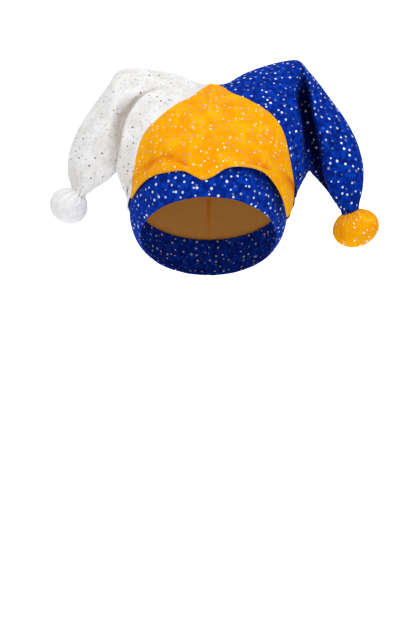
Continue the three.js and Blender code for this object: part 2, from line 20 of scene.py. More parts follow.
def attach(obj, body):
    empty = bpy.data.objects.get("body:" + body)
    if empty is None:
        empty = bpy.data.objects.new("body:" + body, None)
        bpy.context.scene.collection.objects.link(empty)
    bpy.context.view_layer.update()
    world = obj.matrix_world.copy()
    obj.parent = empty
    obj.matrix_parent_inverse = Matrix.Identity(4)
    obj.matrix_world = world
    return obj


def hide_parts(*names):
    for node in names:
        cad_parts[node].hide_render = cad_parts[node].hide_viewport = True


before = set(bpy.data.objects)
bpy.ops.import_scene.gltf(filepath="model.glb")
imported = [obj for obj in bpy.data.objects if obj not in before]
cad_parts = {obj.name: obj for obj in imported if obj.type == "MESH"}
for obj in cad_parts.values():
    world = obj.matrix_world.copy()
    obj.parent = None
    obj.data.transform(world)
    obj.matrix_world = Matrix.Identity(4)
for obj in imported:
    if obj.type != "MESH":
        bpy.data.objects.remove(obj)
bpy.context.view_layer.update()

log = logging.getLogger("jester_hat")

MM = 0.001
PHOTO_HEIGHT_PX = 630

TURN_STEPS = 4
RUN_STEPS = 2
EVEN_ROUNDS = 3
SEAM_CLOSE = 0.15
SEAM_EASE_CELLS = 8
SEAM_TURN = 90
HEM_TURN = 180
UNWRAP_ROUNDS = 8
WELD = 0.001
# Painted shade: the mesh attribute that holds how dark each point's colour is painted for lying in a hollow, a fold
# and a pleat.
PAINTED_SHADE = "hollow"
PAINTED_SHADE_ROUNDS = 50
PAINTED_SHADE_DEPTH = 1.4
FRONT_LAP = 15
BACK_LAP = 8

Cell = tuple[int, int]


class Side(Enum):
    """A side of the hat, as its front is looked at."""

    LEFT = -1
    RIGHT = 1


class Face(Enum):
    """One of the hat's two equal faces."""

    FRONT = 1
    BACK = -1


def lerp(low: float, high: float, share: float) -> float:
    """The value that lies a share of the way from low to high."""
    return low + (high - low) * share


def clamp(value: float, low: float, high: float) -> float:
    """The value, kept between low and high."""
    return min(max(value, low), high)


def ease(value: float, low: float, high: float) -> float:
    """A smooth step from 0 at low to 1 at high."""
    share = clamp((value - low) / (high - low), 0, 1)
    return share * share * (3 - 2 * share)


@dataclass(frozen=True)
class ShareTable:
    """Rows of shares under named columns, read smoothly through every row."""

    columns: tuple[str, ...]
    rows: tuple[tuple[float, ...], ...]

    def value(self, row: int, column: str) -> float:
        """A value of the table. A row past an end is that end's row.

        Args:
            row: Place of the row.
            column: Name of the column.

        Returns:
            The value there.
        """
        return self.rows[clamp(row, 0, len(self.rows) - 1)][self.columns.index(column)]

    def between(self, column: str, place: float) -> float:
        """The column's smooth value at a place counted in rows.

        Args:
            column: Name of the column.
            place: Row number, which needn't be whole.

        Returns:
            The value on a curve through the rows near that place.
        """
        first = clamp(math.floor(place), 0, len(self.rows) - 2)
        part = place - first
        before, here, after, beyond = (self.value(first + step, column) for step in (-1, 0, 1, 2))
        bend = 2 * before - 5 * here + 4 * after - beyond
        swing = 3 * (here - after) + beyond - before
        return here + 0.5 * part * (after - before + part * (bend + part * swing))

    def look_up(self, key: str, column: str, value: float) -> float:
        """The column's smooth value where the key column has a given value.

        Args:
            key: Name of the column that the value is looked for in. It rises from row to row.
            column: Name of the column that is read.
            value: Value of the key column.

        Returns:
            The other column's value there.
        """
        row = 0
        while row < len(self.rows) - 2 and value > self.value(row + 1, key):
            row += 1
        low, high = self.value(row, key), self.value(row + 1, key)
        return self.between(column, row + clamp((value - low) / (high - low), 0, 1))


@dataclass(frozen=True)
class HeadRing:
    """The hollow that the band leaves for the head, at its rim and at its top edge."""

    rim_width: float = 134
    rim_length: float = 176
    top_width: float = 154
    top_length: float = 192
    height: float = 45
    tilt: float = math.radians(33.5)
    rim_curl: float = 4

    def point(self, level: float, bearing: float, outset: float) -> Vector:
        """A point on the band or a way off it.

        Args:
            level: Place up the band, from its rim, 0, to its top edge, 1.
            bearing: Degrees, 90 at the front, 0 at the right and negative round the back.
            outset: Distance out of the hollow.

        Returns:
            The point.
        """
        spread = 1 - (1 - level) ** self.rim_curl if level <= 1 else 1
        across = lerp(self.rim_width, self.top_width, spread) / 2 + outset
        along = lerp(self.rim_length, self.top_length, spread) / 2 + outset
        rise = level * self.height
        angle = math.radians(bearing)
        forward = along * math.sin(angle)
        return Vector((
            across * math.cos(angle),
            rise * math.sin(self.tilt) - forward * math.cos(self.tilt),
            rise * math.cos(self.tilt) + forward * math.sin(self.tilt),
        ))


TOP_SEAM_COLUMNS = ("over", "out", "climb", "stand", "belly")
UNDER_SEAM_COLUMNS = ("out", "climb", "stand")
FOLD_COLUMNS = ("up", "start", "end", "deep")
LEAF_EDGE_COLUMNS = ("turn", "station")
SCALLOP_COLUMNS = ("along", "level")


@dataclass(frozen=True)
class Horn:
    """One horn with the half of the crown that it grows from.

    Stations count the sections of a face: 0 at the peak, 5 at the band's side seam, 8 at the
    crotch under the horn and 15 at its neck, where the pompom is sewn on.
    """

    side: Side
    reach: float
    crest: float
    crotch: float
    drop: float
    sway: float
    flare: float
    sharp_start: bool
    fold_soft: float
    top_seam: ShareTable
    under_seam: ShareTable
    fold: ShareTable
    leaf_edge: ShareTable
    depth: float = 42

    @property
    def foot_station(self) -> float:
        """The station of the leaf's outer edge at the band."""
        return self.leaf_edge.value(0, "station")

    def edge_row(self, share: float) -> tuple[float, float]:
        """The turn and the station of the leaf's outer edge, a share of the way up it."""
        place = share * (len(self.leaf_edge.rows) - 1)
        turn = clamp(self.leaf_edge.between("turn", place), 0, 1)
        return turn, self.leaf_edge.between("station", place)


LEFT_HORN = Horn(
    side=Side.LEFT,
    reach=61.4,
    crest=16.3,
    crotch=26.8,
    drop=124.7,
    sway=8,
    flare=0.4,
    sharp_start=True,
    fold_soft=1.6,
    top_seam=ShareTable(TOP_SEAM_COLUMNS, (
        (0, 0, 0, 1, 0),
        (0.15, 0, 0.06, 1, 0.05),
        (0.38, 0, 0.56, 1, 0.2),
        (0.61, 0, 0.83, 1, 0.45),
        (0.81, 0, 0.97, 1, 0.75),
        (0.96, 0, 1, 1, 0.95),
        (1, 0.073, 1, 0.993, 1),
        (1, 0.16, 1, 0.98, 1),
        (1, 0.231, 1, 0.944, 0.95),
        (1, 0.393, 1, 0.817, 0.85),
        (1, 0.595, 1, 0.688, 0.75),
        (1, 0.787, 1, 0.545, 0.66),
        (1, 0.928, 1, 0.402, 0.56),
        (1, 1, 1, 0.251, 0.44),
        (1, 0.985, 1, 0.121, 0.28),
        (1, 0.898, 1, 0.034, 0.16),
    )),
    under_seam=ShareTable(UNDER_SEAM_COLUMNS, (
        (0, 0, 1),
        (0.068, 0.3, 1),
        (0.128, 0.68, 1),
        (0.175, 1, 1),
        (0.223, 1, 0.857),
        (0.288, 1, 0.697),
        (0.368, 1, 0.505),
        (0.457, 1, 0.332),
        (0.541, 1, 0.177),
        (0.626, 1, 0.013),
        (0.721, 1, -0.195),
    )),
    fold=ShareTable(FOLD_COLUMNS, (
        (0, 8, 9.5, 0.2),
        (0.2, 7, 9, 0.42),
        (0.43, 6, 8.2, 0.48),
        (0.6, 4.9, 7.2, 0.46),
        (0.7, 4, 5.9, 0.4),
        (0.77, 3.2, 4.9, 0.24),
        (0.84, 2.5, 4.1, 0.1),
        (1, 2.4, 3.8, 0),
    )),
    leaf_edge=ShareTable(LEAF_EDGE_COLUMNS, (
        (0, 3.68),
        (0.12, 3.61),
        (0.24, 3.52),
        (0.31, 3.36),
        (0.345, 3.03),
        (0.37, 2.5),
        (0.415, 2.05),
        (0.5, 1.55),
        (0.6, 1.12),
        (0.73, 0.78),
        (0.87, 0.45),
        (1, 0.15),
    )),
)

RIGHT_HORN = Horn(
    side=Side.RIGHT,
    reach=68.5,
    crest=24.1,
    crotch=26.4,
    drop=150.1,
    sway=-8,
    flare=6,
    sharp_start=False,
    fold_soft=0.9,
    top_seam=ShareTable(TOP_SEAM_COLUMNS, (
        (0, 0, 0, 1, 0),
        (0.18, 0, 0.03, 1, 0.05),
        (0.41, 0, 0.46, 1, 0.2),
        (0.65, 0, 0.76, 1, 0.45),
        (0.82, 0, 0.91, 1, 0.75),
        (0.94, 0, 0.99, 1, 0.95),
        (1, 0.039, 1, 1, 1),
        (1, 0.114, 1, 0.982, 1),
        (1, 0.195, 1, 0.938, 0.95),
        (1, 0.341, 1, 0.858, 0.85),
        (1, 0.552, 1, 0.731, 0.75),
        (1, 0.76, 1, 0.597, 0.66),
        (1, 0.921, 1, 0.451, 0.56),
        (1, 1, 1, 0.287, 0.44),
        (1, 0.978, 1, 0.137, 0.28),
        (1, 0.894, 1, 0.016, 0.16),
    )),
    under_seam=ShareTable(UNDER_SEAM_COLUMNS, (
        (0, 0, 1),
        (0.056, 0.35, 1),
        (0.125, 0.68, 1),
        (0.203, 1, 1),
        (0.256, 1, 0.923),
        (0.324, 1, 0.798),
        (0.398, 1, 0.659),
        (0.474, 1, 0.5),
        (0.544, 1, 0.319),
        (0.619, 1, 0.129),
        (0.705, 1, -0.063),
    )),
    fold=ShareTable(FOLD_COLUMNS, (
        (0, 7.1, 12.2, 0.6),
        (0.13, 7, 11.1, 0.82),
        (0.31, 6.8, 10.3, 0.9),
        (0.5, 6.5, 9.6, 0.86),
        (0.7, 5.9, 8.5, 0.78),
        (0.86, 5.9, 7.7, 0.5),
        (1, 5.9, 7.2, 0),
    )),
    leaf_edge=ShareTable(LEAF_EDGE_COLUMNS, (
        (0, 4.42),
        (0.07, 4.36),
        (0.145, 4.27),
        (0.225, 4.1),
        (0.285, 3.94),
        (0.345, 3.81),
        (0.39, 3.6),
        (0.41, 3.3),
        (0.43, 2.75),
        (0.48, 2.1),
        (0.6, 1.4),
        (0.8, 0.85),
        (1, 0.5),
    )),
)

BACK_RIGHT_HORN = replace(RIGHT_HORN, leaf_edge=ShareTable(LEAF_EDGE_COLUMNS, (
    (0, 4.42),
    (0.08, 4.34),
    (0.16, 4.2),
    (0.24, 4),
    (0.31, 3.72),
    (0.37, 3.38),
    (0.43, 2.98),
    (0.5, 2.5),
    (0.58, 1.98),
    (0.68, 1.45),
    (0.82, 0.9),
    (1, 0.5),
)))

LEFT_SCALLOP = ShareTable(SCALLOP_COLUMNS, (
    (0, 0.29),
    (0.1, 0.4),
    (0.2, 0.54),
    (0.4, 0.61),
    (0.6, 0.66),
    (0.75, 0.64),
    (0.9, 0.59),
    (1, 0.55),
))
BACK_RIGHT_SCALLOP = ShareTable(SCALLOP_COLUMNS, (
    (0, 0.29),
    (0.1, 0.4),
    (0.2, 0.54),
    (0.4, 0.61),
    (0.6, 0.66),
    (0.75, 0.7),
    (0.9, 0.75),
    (1, 0.78),
))
RIGHT_SCALLOP = ShareTable(SCALLOP_COLUMNS, (
    (0, 0.29),
    (0.1, 0.37),
    (0.2, 0.54),
    (0.3, 0.63),
    (0.4, 0.67),
    (0.5, 0.69),
    (0.6, 0.66),
    (0.7, 0.53),
    (0.8, 0.36),
    (0.9, 0.19),
    (1, 0.07),
))


@dataclass(frozen=True)
class Crease:
    """A soft ridge, or a hollow where its height is negative, along a line on a face.

    The line's points are x and z, as the hat is seen from the front. A ridge may lean over to
    one side, so that it hangs over the hollow beside it.
    """

    line: tuple[tuple[float, float], ...]
    height: float
    width: float
    lean: float = 0
    fade: float = 0.3

    def move(self, spot: Vector, normal: Vector) -> Vector:
        """How far the crease moves the cloth at a place.

        Args:
            spot: The place.
            normal: The cloth's normal there.

        Returns:
            The move.
        """
        flat = Vector((spot.x, spot.z))
        nearest, share, side = math.inf, 0.0, Vector((0, 0))
        for step, (start, end) in enumerate(zip(self.line, self.line[1:])):
            begin = Vector(start)
            way = Vector(end) - begin
            part = clamp((flat - begin).dot(way) / way.length_squared, 0, 1)
            gap = (flat - begin - way * part).length
            if gap < nearest:
                nearest, share = gap, (step + part) / (len(self.line) - 1)
                side = Vector((way.y, -way.x)).normalized()
        if nearest > 3 * self.width:
            return Vector()
        ends = ease(share, 0, self.fade) * (1 - ease(share, 1 - self.fade, 1))
        strength = ends * math.exp(-((nearest / self.width) ** 2))
        return (normal * self.height + Vector((side.x, 0, side.y)) * self.lean) * strength


LEAF_CREASES = {
    Side.LEFT: (
        Crease(
            ((-74, 61), (-64, 73), (-54, 81), (-43, 87), (-33, 87), (-26, 82), (-18, 76), (-13, 70)),
            height=-2.4, width=2.8,
        ),
        Crease(
            ((-70, 55), (-61, 65), (-51, 73), (-39, 77), (-29, 79), (-20, 75)),
            height=1.2, width=4,
        ),
        Crease(
            ((-62, 86), (-48, 94), (-31, 103), (-15, 110)),
            height=1.0, width=8,
        ),
        Crease(
            ((-17, 97), (-10, 86), (-5, 76)),
            height=-0.7, width=3,
        ),
    ),
    Side.RIGHT: (
        Crease(
            ((5, 79), (16, 86), (30, 87), (44, 86), (57, 80), (67, 69), (75, 51)),
            height=0.9, width=5,
        ),
        Crease(
            ((5, 94), (18, 101), (34, 104)),
            height=0.7, width=8,
        ),
        Crease(
            ((14, 95), (8, 84), (3, 74)),
            height=-0.6, width=3,
        ),
    ),
}
HORN_CREASES = {
    Side.LEFT: (
        Crease(
            ((-43, 146), (-52, 142), (-60, 138), (-68, 132), (-75, 122), (-81, 111), (-84, 99), (-87, 86)),
            height=1.2, width=3.4, lean=3,
        ),
        Crease(
            ((-58, 142), (-72, 133), (-82, 121), (-88, 108), (-92, 97), (-97, 82)),
            height=-0.6, width=7,
        ),
        Crease(
            ((-90, 72), (-98, 60), (-108, 50)),
            height=0.8, width=5,
        ),
        Crease(
            ((-40, 158), (-58, 154), (-79, 147), (-92, 136)),
            height=-0.8, width=7,
        ),
    ),
    Side.RIGHT: (
        Crease(
            ((85, 159), (85, 140), (89, 120), (93, 100), (97, 80)),
            height=0.8, width=4,
        ),
        Crease(
            ((89, 158), (92, 138), (95, 118), (99, 99), (103, 79)),
            height=-1.6, width=4.5,
        ),
        Crease(
            ((99, 145), (107, 133), (112, 113), (116, 92), (118, 73), (121, 57), (128, 39)),
            height=1.8, width=4, lean=2.6,
        ),
        Crease(
            ((123, 130), (129, 111), (131, 92), (134, 73), (136, 52), (138, 33)),
            height=-1.8, width=5,
        ),
        Crease(
            ((54, 158), (62, 144), (73, 129), (80, 113)),
            height=0.9, width=8,
        ),
        Crease(
            ((33, 157), (50, 141), (66, 128)),
            height=-0.8, width=6,
        ),
    ),
}


@dataclass(frozen=True)
class CrownForm:
    """The form that the crown and the horns take on the head."""

    ring: HeadRing = field(default_factory=HeadRing)
    cloth: float = 1.6
    band_cloth: float = 2.7
    seam_gap: float = 0.3
    hem_gap: float = 0.5
    hem_lap: float = 8
    peak_height: float = 150.7
    peak_shift: float = 3
    middle_turn: float = 3.6
    seam_lean: float = math.radians(18)
    side_ease: float = 20
    front_fullness: float = -0.2
    back_fullness: float = -0.05
    back_fold: float = 0.5
    fold_sharp: float = 0.27
    # How dark the fold's painted shade gets, and how fast it fades away from the sharp edge.
    fold_dark: float = 1.9
    fold_fade: float = 0.7
    stand_off_power: float = 0.45
    front_flare_power: float = 2
    back_flare_power: float = 8
    hem_draw: float = 0.6
    arch_station: float = 1.5
    side_station: float = 5
    neck_station: float = 15

    @property
    def lap_level(self) -> float:
        """The level of the band down to which the crown laps over it."""
        return 1 - self.hem_lap / self.ring.height

    @property
    def side_point(self) -> Vector:
        """Where the band's top edge passes the side of the head."""
        return self.ring.point(1, 0, 0)

    def bearing(self, horn: Horn, face: Face, station: float) -> float:
        """The bearing on the band below a station of the crown."""
        middle = 90 + (horn.side.value * self.middle_turn if face is Face.FRONT else 0)
        return clamp((self.side_station - station) / self.side_station, -1, 1) * middle

    def hem_outset(self, horn: Horn, face: Face, bearing: float) -> float:
        """How far the outer side of the crown's hem stands out of the head's hollow."""
        power = self.front_flare_power if face is Face.FRONT else self.back_flare_power
        flare = horn.flare * math.cos(math.radians(bearing)) ** power
        return self.band_cloth + self.hem_gap + self.cloth + flare

    def section_ends(self, horn: Horn, face: Face, station: float) -> tuple[Vector, Vector]:
        """The two ends of a face's section, as x and z in the plane of the seams.

        Args:
            horn: The horn.
            face: The face.
            station: The section's station.

        Returns:
            The end at the top seam and the end at the band or the seam under the horn.
        """
        side_x = self.side_point.x + self.hem_outset(horn, face, 0)
        crest = self.peak_height + horn.crest
        neck = crest - horn.drop
        over, out, climb, stand = (
            horn.top_seam.between(column, station) for column in ("over", "out", "climb", "stand")
        )
        height = lerp(self.peak_height, crest, climb)
        top = Vector((over * side_x + out * horn.reach, lerp(neck, height, stand)))
        if station <= self.side_station:
            bearing = self.bearing(horn, face, station)
            outset = self.hem_outset(horn, face, bearing)
            foot = self.ring.point(1, face.value * bearing, outset)
            return top, Vector((foot.x, foot.z))
        past = station - self.side_station
        out, climb, stand = (horn.under_seam.between(column, past) for column in UNDER_SEAM_COLUMNS)
        height = lerp(self.side_point.z, self.side_point.z + horn.crotch, climb)
        return top, Vector((side_x + out * horn.reach, lerp(neck, height, stand)))

    def seam_depth(self, horn: Horn, x: float, z: float) -> float:
        """Where the surface of the seams lies in depth, with the horn's sway past the head."""
        edge = self.side_point.x + self.hem_outset(horn, Face.FRONT, 0)
        past = max(0.0, (abs(x) - edge) / horn.reach)
        lean = (z - self.side_point.z) * math.tan(self.seam_lean)
        return self.side_point.y + lean + horn.sway * past**2

    def fold_share(self, horn: Horn, face: Face, station: float, up: float) -> float:
        """The share of a face's depth that the hanging horn's fold takes away."""
        start, end, deep = (horn.fold.look_up("up", column, up) for column in FOLD_COLUMNS[1:])
        enter = self.fold_sharp if horn.sharp_start else horn.fold_soft
        leave = horn.fold_soft if horn.sharp_start else self.fold_sharp
        entered = ease(station, start - enter, start + enter)
        inside = entered * (1 - ease(station, end - leave, end + leave))
        return deep * inside * (1 if face is Face.FRONT else self.back_fold)

    def fold_shade(self, horn: Horn, face: Face, station: float, turn: float) -> float:
        """How deep a place lies in the fold's shade, which is darkest beside the sharp edge.

        Args:
            horn: The horn.
            face: The face.
            station: The section's station.
            turn: Share of the way up the section.

        Returns:
            The share, from 0 in the open to 1.
        """
        up = self.rise(station, turn)
        start, end = (horn.fold.look_up("up", column, up) for column in ("start", "end"))
        away = (station - start) / (end - start)
        away = clamp(away if horn.sharp_start else 1 - away, 0, 1)
        share = self.fold_share(horn, face, station, up)
        return min(1.0, self.fold_dark * share * (1 - away) ** self.fold_fade)

    def rise(self, station: float, turn: float) -> float:
        """How far up a section a turn reaches, from 0 at its foot to 1 at its top."""
        arch = math.sin(turn * math.pi / 2)
        roundness = (1 - math.cos(turn * math.pi)) / 2
        return lerp(arch, roundness, ease(station, self.arch_station, self.side_station))

    def band_depth(self, horn: Horn, face: Face, station: float, bulge: float) -> float:
        """The depth that a face keeps from the band's roundness, easing out past the side."""
        bearing = self.bearing(horn, face, station)
        reach = self.ring.top_length / 2 + self.hem_outset(horn, face, bearing)
        along = reach * math.sin(math.radians(bearing))
        depth = along * math.cos(self.ring.tilt - self.seam_lean) / math.cos(self.seam_lean)
        return (depth + math.hypot(depth, self.side_ease * bulge)) / 2

    def face_point(self, horn: Horn, face: Face, station: float, turn: float) -> Vector:
        """A point on the outer side of a face.

        Args:
            horn: The horn.
            face: The face.
            station: The section's station.
            turn: Share of the way from the band or the seam under the horn, 0, to the top seam, 1.

        Returns:
            The point.
        """
        top, foot = self.section_ends(horn, face, station)
        bulge = max(math.sin(turn * math.pi), 0)
        up = self.rise(station, turn)
        fullness = self.front_fullness if face is Face.FRONT else self.back_fullness
        fall = math.cos(turn * math.pi / 2) + fullness * bulge
        belly = horn.depth * horn.top_seam.between("belly", station) * bulge
        fold = self.fold_share(horn, face, station, up) * math.sqrt(bulge)
        depth = (self.band_depth(horn, face, station, bulge) * fall + belly) * (1 - fold)
        flat = foot.lerp(top, up)
        drift = self.peak_shift * up**3 * max(0.0, 1 - abs(flat.x) / self.side_point.x)
        x = horn.side.value * flat.x + drift
        y = self.seam_depth(horn, x, flat.y) - face.value * max(depth, self.seam_gap / 2)
        return Vector((x, y, flat.y))

    def hem_point(
        self, horn: Horn, face: Face, station: float, level: float, off: float, draw: float = 0
    ) -> Vector:
        """A point on the hem that hangs over the band.

        Args:
            horn: The horn.
            face: The face.
            station: The section's station.
            level: Place up the band, from its rim, 0, to its top edge, 1.
            off: How far the hem stands off there.
            draw: Share of the flare that is drawn in there besides what the side seam draws.

        Returns:
            The point.
        """
        bearing = self.bearing(horn, face, station)
        beside = ease(station, horn.foot_station, self.side_station)
        drawn = max(draw, self.hem_draw * beside * (1 - ease(level, self.lap_level, 1)))
        near, far = self.hem_outset(horn, face, 90), self.hem_outset(horn, face, bearing)
        point = self.ring.point(level, face.value * bearing, lerp(far, near, drawn) + off)
        point.x *= horn.side.value
        return point

    def neck(self, horn: Horn) -> tuple[Vector, Vector]:
        """The middle of a horn's neck and the way that it points."""
        top = self.face_point(horn, Face.FRONT, self.neck_station, 1)
        under = self.face_point(horn, Face.FRONT, self.neck_station, 0)
        centre = (top + under) / 2 + Vector((0, self.seam_gap / 2, 0))
        axis = Vector((0, 1, 0)).cross(top - under) * horn.side.value
        return centre, axis.normalized()


class ClothSheet:
    """A piece of cloth, laid as a grid by an operator and placed, creased and turned in by moves."""

    def __init__(self, columns: int, rows: int) -> None:
        """Lays the flat grid.

        Args:
            columns: Number of squares across.
            rows: Number of squares up.
        """
        self.bm = bmesh.new()
        # This layer holds the painted shade of each point, for the colour to be darkened there.
        self.hollow = self.bm.verts.layers.float.new(PAINTED_SHADE)
        bmesh.ops.create_grid(self.bm, x_segments=columns, y_segments=rows, size=0.5)
        self.cells = {
            (round((vert.co.x + 0.5) * columns), round((vert.co.y + 0.5) * rows)): vert
            for vert in self.bm.verts
        }

    def place(self, form: Callable[[int, int], Vector | None], turned_over: bool) -> None:
        """Moves every point of the grid to its place, and cuts away the points that have none.

        Args:
            form: The place of a column and row, or None where there is no cloth.
            turned_over: Whether the grid's faces have to be turned over to look out of the hat.
        """
        spare = []
        for cell, vert in list(self.cells.items()):
            spot = form(*cell)
            if spot is None:
                spare.append(vert)
                del self.cells[cell]
            else:
                vert.co = spot
        bmesh.ops.delete(self.bm, geom=spare, context="VERTS")
        if turned_over:
            bmesh.ops.reverse_faces(self.bm, faces=self.bm.faces)
        self.bm.normal_update()

    def near_edges(self) -> Callable[[Vector], float]:
        """A function that measures how far a place is from the cloth's edges."""
        edge = [vert.co.copy() for vert in self.bm.verts if vert.is_boundary]
        tree = KDTree(len(edge))
        for index, spot in enumerate(edge):
            tree.insert(spot, index)
        tree.balance()
        return lambda spot: tree.find(spot)[2]

    def crease(self, creases: Iterable[Crease], softness: "Softness") -> None:
        """Lifts the cloth into its creases, its soft waves and the puckers beside its seams.

        Args:
            creases: The creases that the photo shows.
            softness: The waves and puckers of the cloth.
        """
        self.bm.normal_update()
        edge_gap = self.near_edges()
        moves = {}
        for vert in self.bm.verts:
            gap = edge_gap(vert.co)
            creased = sum((crease.move(vert.co, vert.normal) for crease in creases), Vector())
            hold = ease(gap, 0, softness.edge_hold)
            moves[vert] = creased * hold + vert.normal * softness.lift(vert.co, gap)
        for vert, move in moves.items():
            vert.co += move
        self.bm.normal_update()

    def paint_hollow_shade(self) -> None:
        """Marks how deep each point lies below the cloth around it, as painted shade that darkens the colour there.
        """
        self.bm.normal_update()
        verts = list(self.bm.verts)
        kept = {vert: (vert.co.copy(), vert.normal.copy()) for vert in verts}
        smooth_points(self.bm, verts, PAINTED_SHADE_ROUNDS)
        for vert, (place, normal) in kept.items():
            below = (vert.co - place).dot(normal)
            vert[self.hollow] = clamp(below / PAINTED_SHADE_DEPTH, 0, 1) * (0 if vert.is_boundary else 1)
            vert.co = place
        self.bm.normal_update()

    def turn_in(self, strength: dict[Cell, float], radius: float, sweep: float, run: float) -> None:
        """Rolls an edge of the cloth inwards and runs it on.

        Args:
            strength: How fully each point of the edge turns in, from 0 to 1, by its cell.
            radius: Radius of the roll.
            sweep: Degrees that the cloth turns through: 90 at a seam, 180 at a hem.
            run: Length of the cloth past the roll.
        """
        self.bm.normal_update()
        shares = {self.cells[cell]: share for cell, share in strength.items() if cell in self.cells}
        chain = [e for e in self.bm.edges if e.is_boundary and all(v in shares for v in e.verts)]
        inward = self._inward(chain)
        start = {vert: vert.co.copy() for vert in inward}
        down = {}
        for vert, way in inward.items():
            normal = vert.normal - way * vert.normal.dot(way)
            down[vert] = -normal.normalized()
        leaders = {vert: vert for vert in inward}
        for vert, way in inward.items():
            vert.co = start[vert] + way * radius * shares[vert]
        turns = [math.radians(sweep) * step / TURN_STEPS for step in range(1, TURN_STEPS + 1)]
        runs = [run * step / RUN_STEPS for step in range(1, RUN_STEPS + 1)]
        for angle, past in [(angle, 0.0) for angle in turns] + [(turns[-1], past) for past in runs]:
            made = bmesh.ops.extrude_edge_only(self.bm, edges=chain)["geom"]
            fresh = {item for item in made if isinstance(item, BMVert)}
            chain = [e for e in made if isinstance(e, BMEdge) and all(v in fresh for v in e.verts)]
            followers = {}
            for vert in fresh:
                old = next(e.other_vert(vert) for e in vert.link_edges if e.other_vert(vert) in leaders)
                first = leaders[old]
                share = shares[first]
                ahead = radius * (1 - math.sin(angle)) - past * math.cos(angle)
                ahead -= SEAM_CLOSE * max(0, math.sin(angle)) ** 4
                below = radius * (1 - math.cos(angle)) + past * math.sin(angle)
                vert.co = start[first] + (inward[first] * ahead + down[first] * below) * share
                followers[vert] = first
            leaders = followers

    @staticmethod
    def _inward(chain: Iterable[BMEdge]) -> dict[BMVert, Vector]:
        """The way from each point of an edge into the cloth."""
        inward: dict[BMVert, Vector] = {}
        for edge in chain:
            first, second = edge.verts
            along = (second.co - first.co).normalized()
            way = edge.link_faces[0].calc_center_median() - (first.co + second.co) / 2
            way = (way - along * way.dot(along)).normalized()
            for vert in edge.verts:
                inward[vert] = inward.get(vert, Vector()) + way
        ways = {vert: way.normalized() for vert, way in inward.items()}
        for _ in range(EVEN_ROUNDS):
            spread = {vert: way.copy() for vert, way in ways.items()}
            for edge in chain:
                first, second = edge.verts
                spread[first] += ways[second]
                spread[second] += ways[first]
            ways = {vert: way.normalized() for vert, way in spread.items()}
        return ways

    def finish(self, name: str, thickness: float, fine: int = 1) -> bpy.types.Object:
        """Makes the piece of cloth in metres, with its pattern laid flat and its wall.

        Args:
            name: The piece's name.
            thickness: Thickness of the cloth.
            fine: Levels of subdivision.

        Returns:
            The piece.
        """
        bmesh.ops.scale(self.bm, vec=(MM, MM, MM), verts=self.bm.verts)
        put_in_order(self.bm)
        piece = make_object(name, self.bm)
        lay_flat(piece)
        wall = piece.modifiers.new("wall", "SOLIDIFY")
        wall.thickness = thickness * MM
        wall.offset = -1
        wall.material_offset = 1
        add_subdivision(piece, fine)
        return piece


@dataclass(frozen=True)
class Softness:
    """The gentle unevenness of a piece of cloth: broad waves, small waves and seam puckers."""

    wave: float = 0.7
    wave_length: float = 30
    ripple: float = 0.22
    ripple_length: float = 9
    pucker: float = 0.4
    pucker_length: float = 5
    pucker_reach: float = 5
    edge_hold: float = 5
    seed: float = 0

    def lift(self, spot: Vector, gap: float) -> float:
        """How far the cloth is lifted at a place.

        Args:
            spot: The place.
            gap: Its distance from the cloth's edge.

        Returns:
            The lift along the cloth's normal.
        """
        shift = Vector((self.seed, -self.seed, self.seed))
        waves = self.wave * noise.noise(spot / self.wave_length + shift)
        ripples = self.ripple * noise.noise(spot / self.ripple_length + shift)
        puckers = self.pucker * noise.noise(spot / self.pucker_length + shift)
        beside = math.exp(-((gap / self.pucker_reach) ** 2))
        return (waves + ripples) * ease(gap, 0, self.edge_hold) + puckers * beside * ease(gap, 0, 2)


def put_in_order(bm: bmesh.types.BMesh) -> None:
    """Puts edges and faces in the order of their points, which an extrusion leaves to chance."""
    bm.verts.index_update()
    count = len(bm.verts)

    def order(item: BMEdge | BMFace) -> float:
        """A number of its own for an edge or a face, from the places of its points."""
        places = [vert.index for vert in item.verts]
        return (min(places) * count + max(places)) * 4 * count + sum(places)

    bm.edges.sort(key=order)
    bm.faces.sort(key=order)


def smooth_points(bm: bmesh.types.BMesh, verts: list[BMVert], rounds: int) -> None:
    """Moves points half the way to the middle of their neighbours, again and again."""
    axes = {f"use_axis_{axis}": True for axis in "xyz"}
    for _ in range(rounds):
        bmesh.ops.smooth_vert(bm, verts=verts, factor=0.5, **axes)


def make_object(name: str, bm: bmesh.types.BMesh) -> bpy.types.Object:
    """Makes an object at the origin from a finished bmesh, and frees the bmesh."""
    mesh = bpy.data.meshes.new(name)
    bm.to_mesh(mesh)
    bm.free()
    mesh.shade_smooth()
    piece = bpy.data.objects.new(name, mesh)
    bpy.context.scene.collection.objects.link(piece)
    return piece


def add_subdivision(piece: bpy.types.Object, levels: int) -> None:
    """Gives a piece a Subdivision Surface with the same levels in view and in render."""
    smooth = piece.modifiers.new("smooth", "SUBSURF")
    smooth.levels = smooth.render_levels = levels


def lay_flat(piece: bpy.types.Object) -> None:
    """Lays a piece's cloth flat as its UV map, in metres, as the pattern that it was cut to."""
    for other in bpy.context.selected_objects:
        other.select_set(False)
    bpy.context.view_layer.objects.active = piece
    piece.select_set(True)
    if not piece.data.uv_layers:
        piece.data.uv_layers.new(name="cloth")
    bpy.ops.object.mode_set(mode="EDIT")
    bpy.ops.mesh.select_all(action="SELECT")
    bpy.ops.uv.unwrap(method="MINIMUM_STRETCH", iterations=UNWRAP_ROUNDS, margin=0)
    bpy.ops.object.mode_set(mode="OBJECT")
    layer = piece.data.uv_layers.active.data
    flat = 0.0
    for face in piece.data.polygons:
        corners = [layer[index].uv for index in face.loop_indices]
        shoelace = sum(a.x * b.y - b.x * a.y for a, b in zip(corners, corners[1:] + corners[:1]))
        flat += abs(shoelace) / 2
    scale = math.sqrt(sum(face.area for face in piece.data.polygons) / flat)
    for corner in layer:
        corner.uv = corner.uv * scale


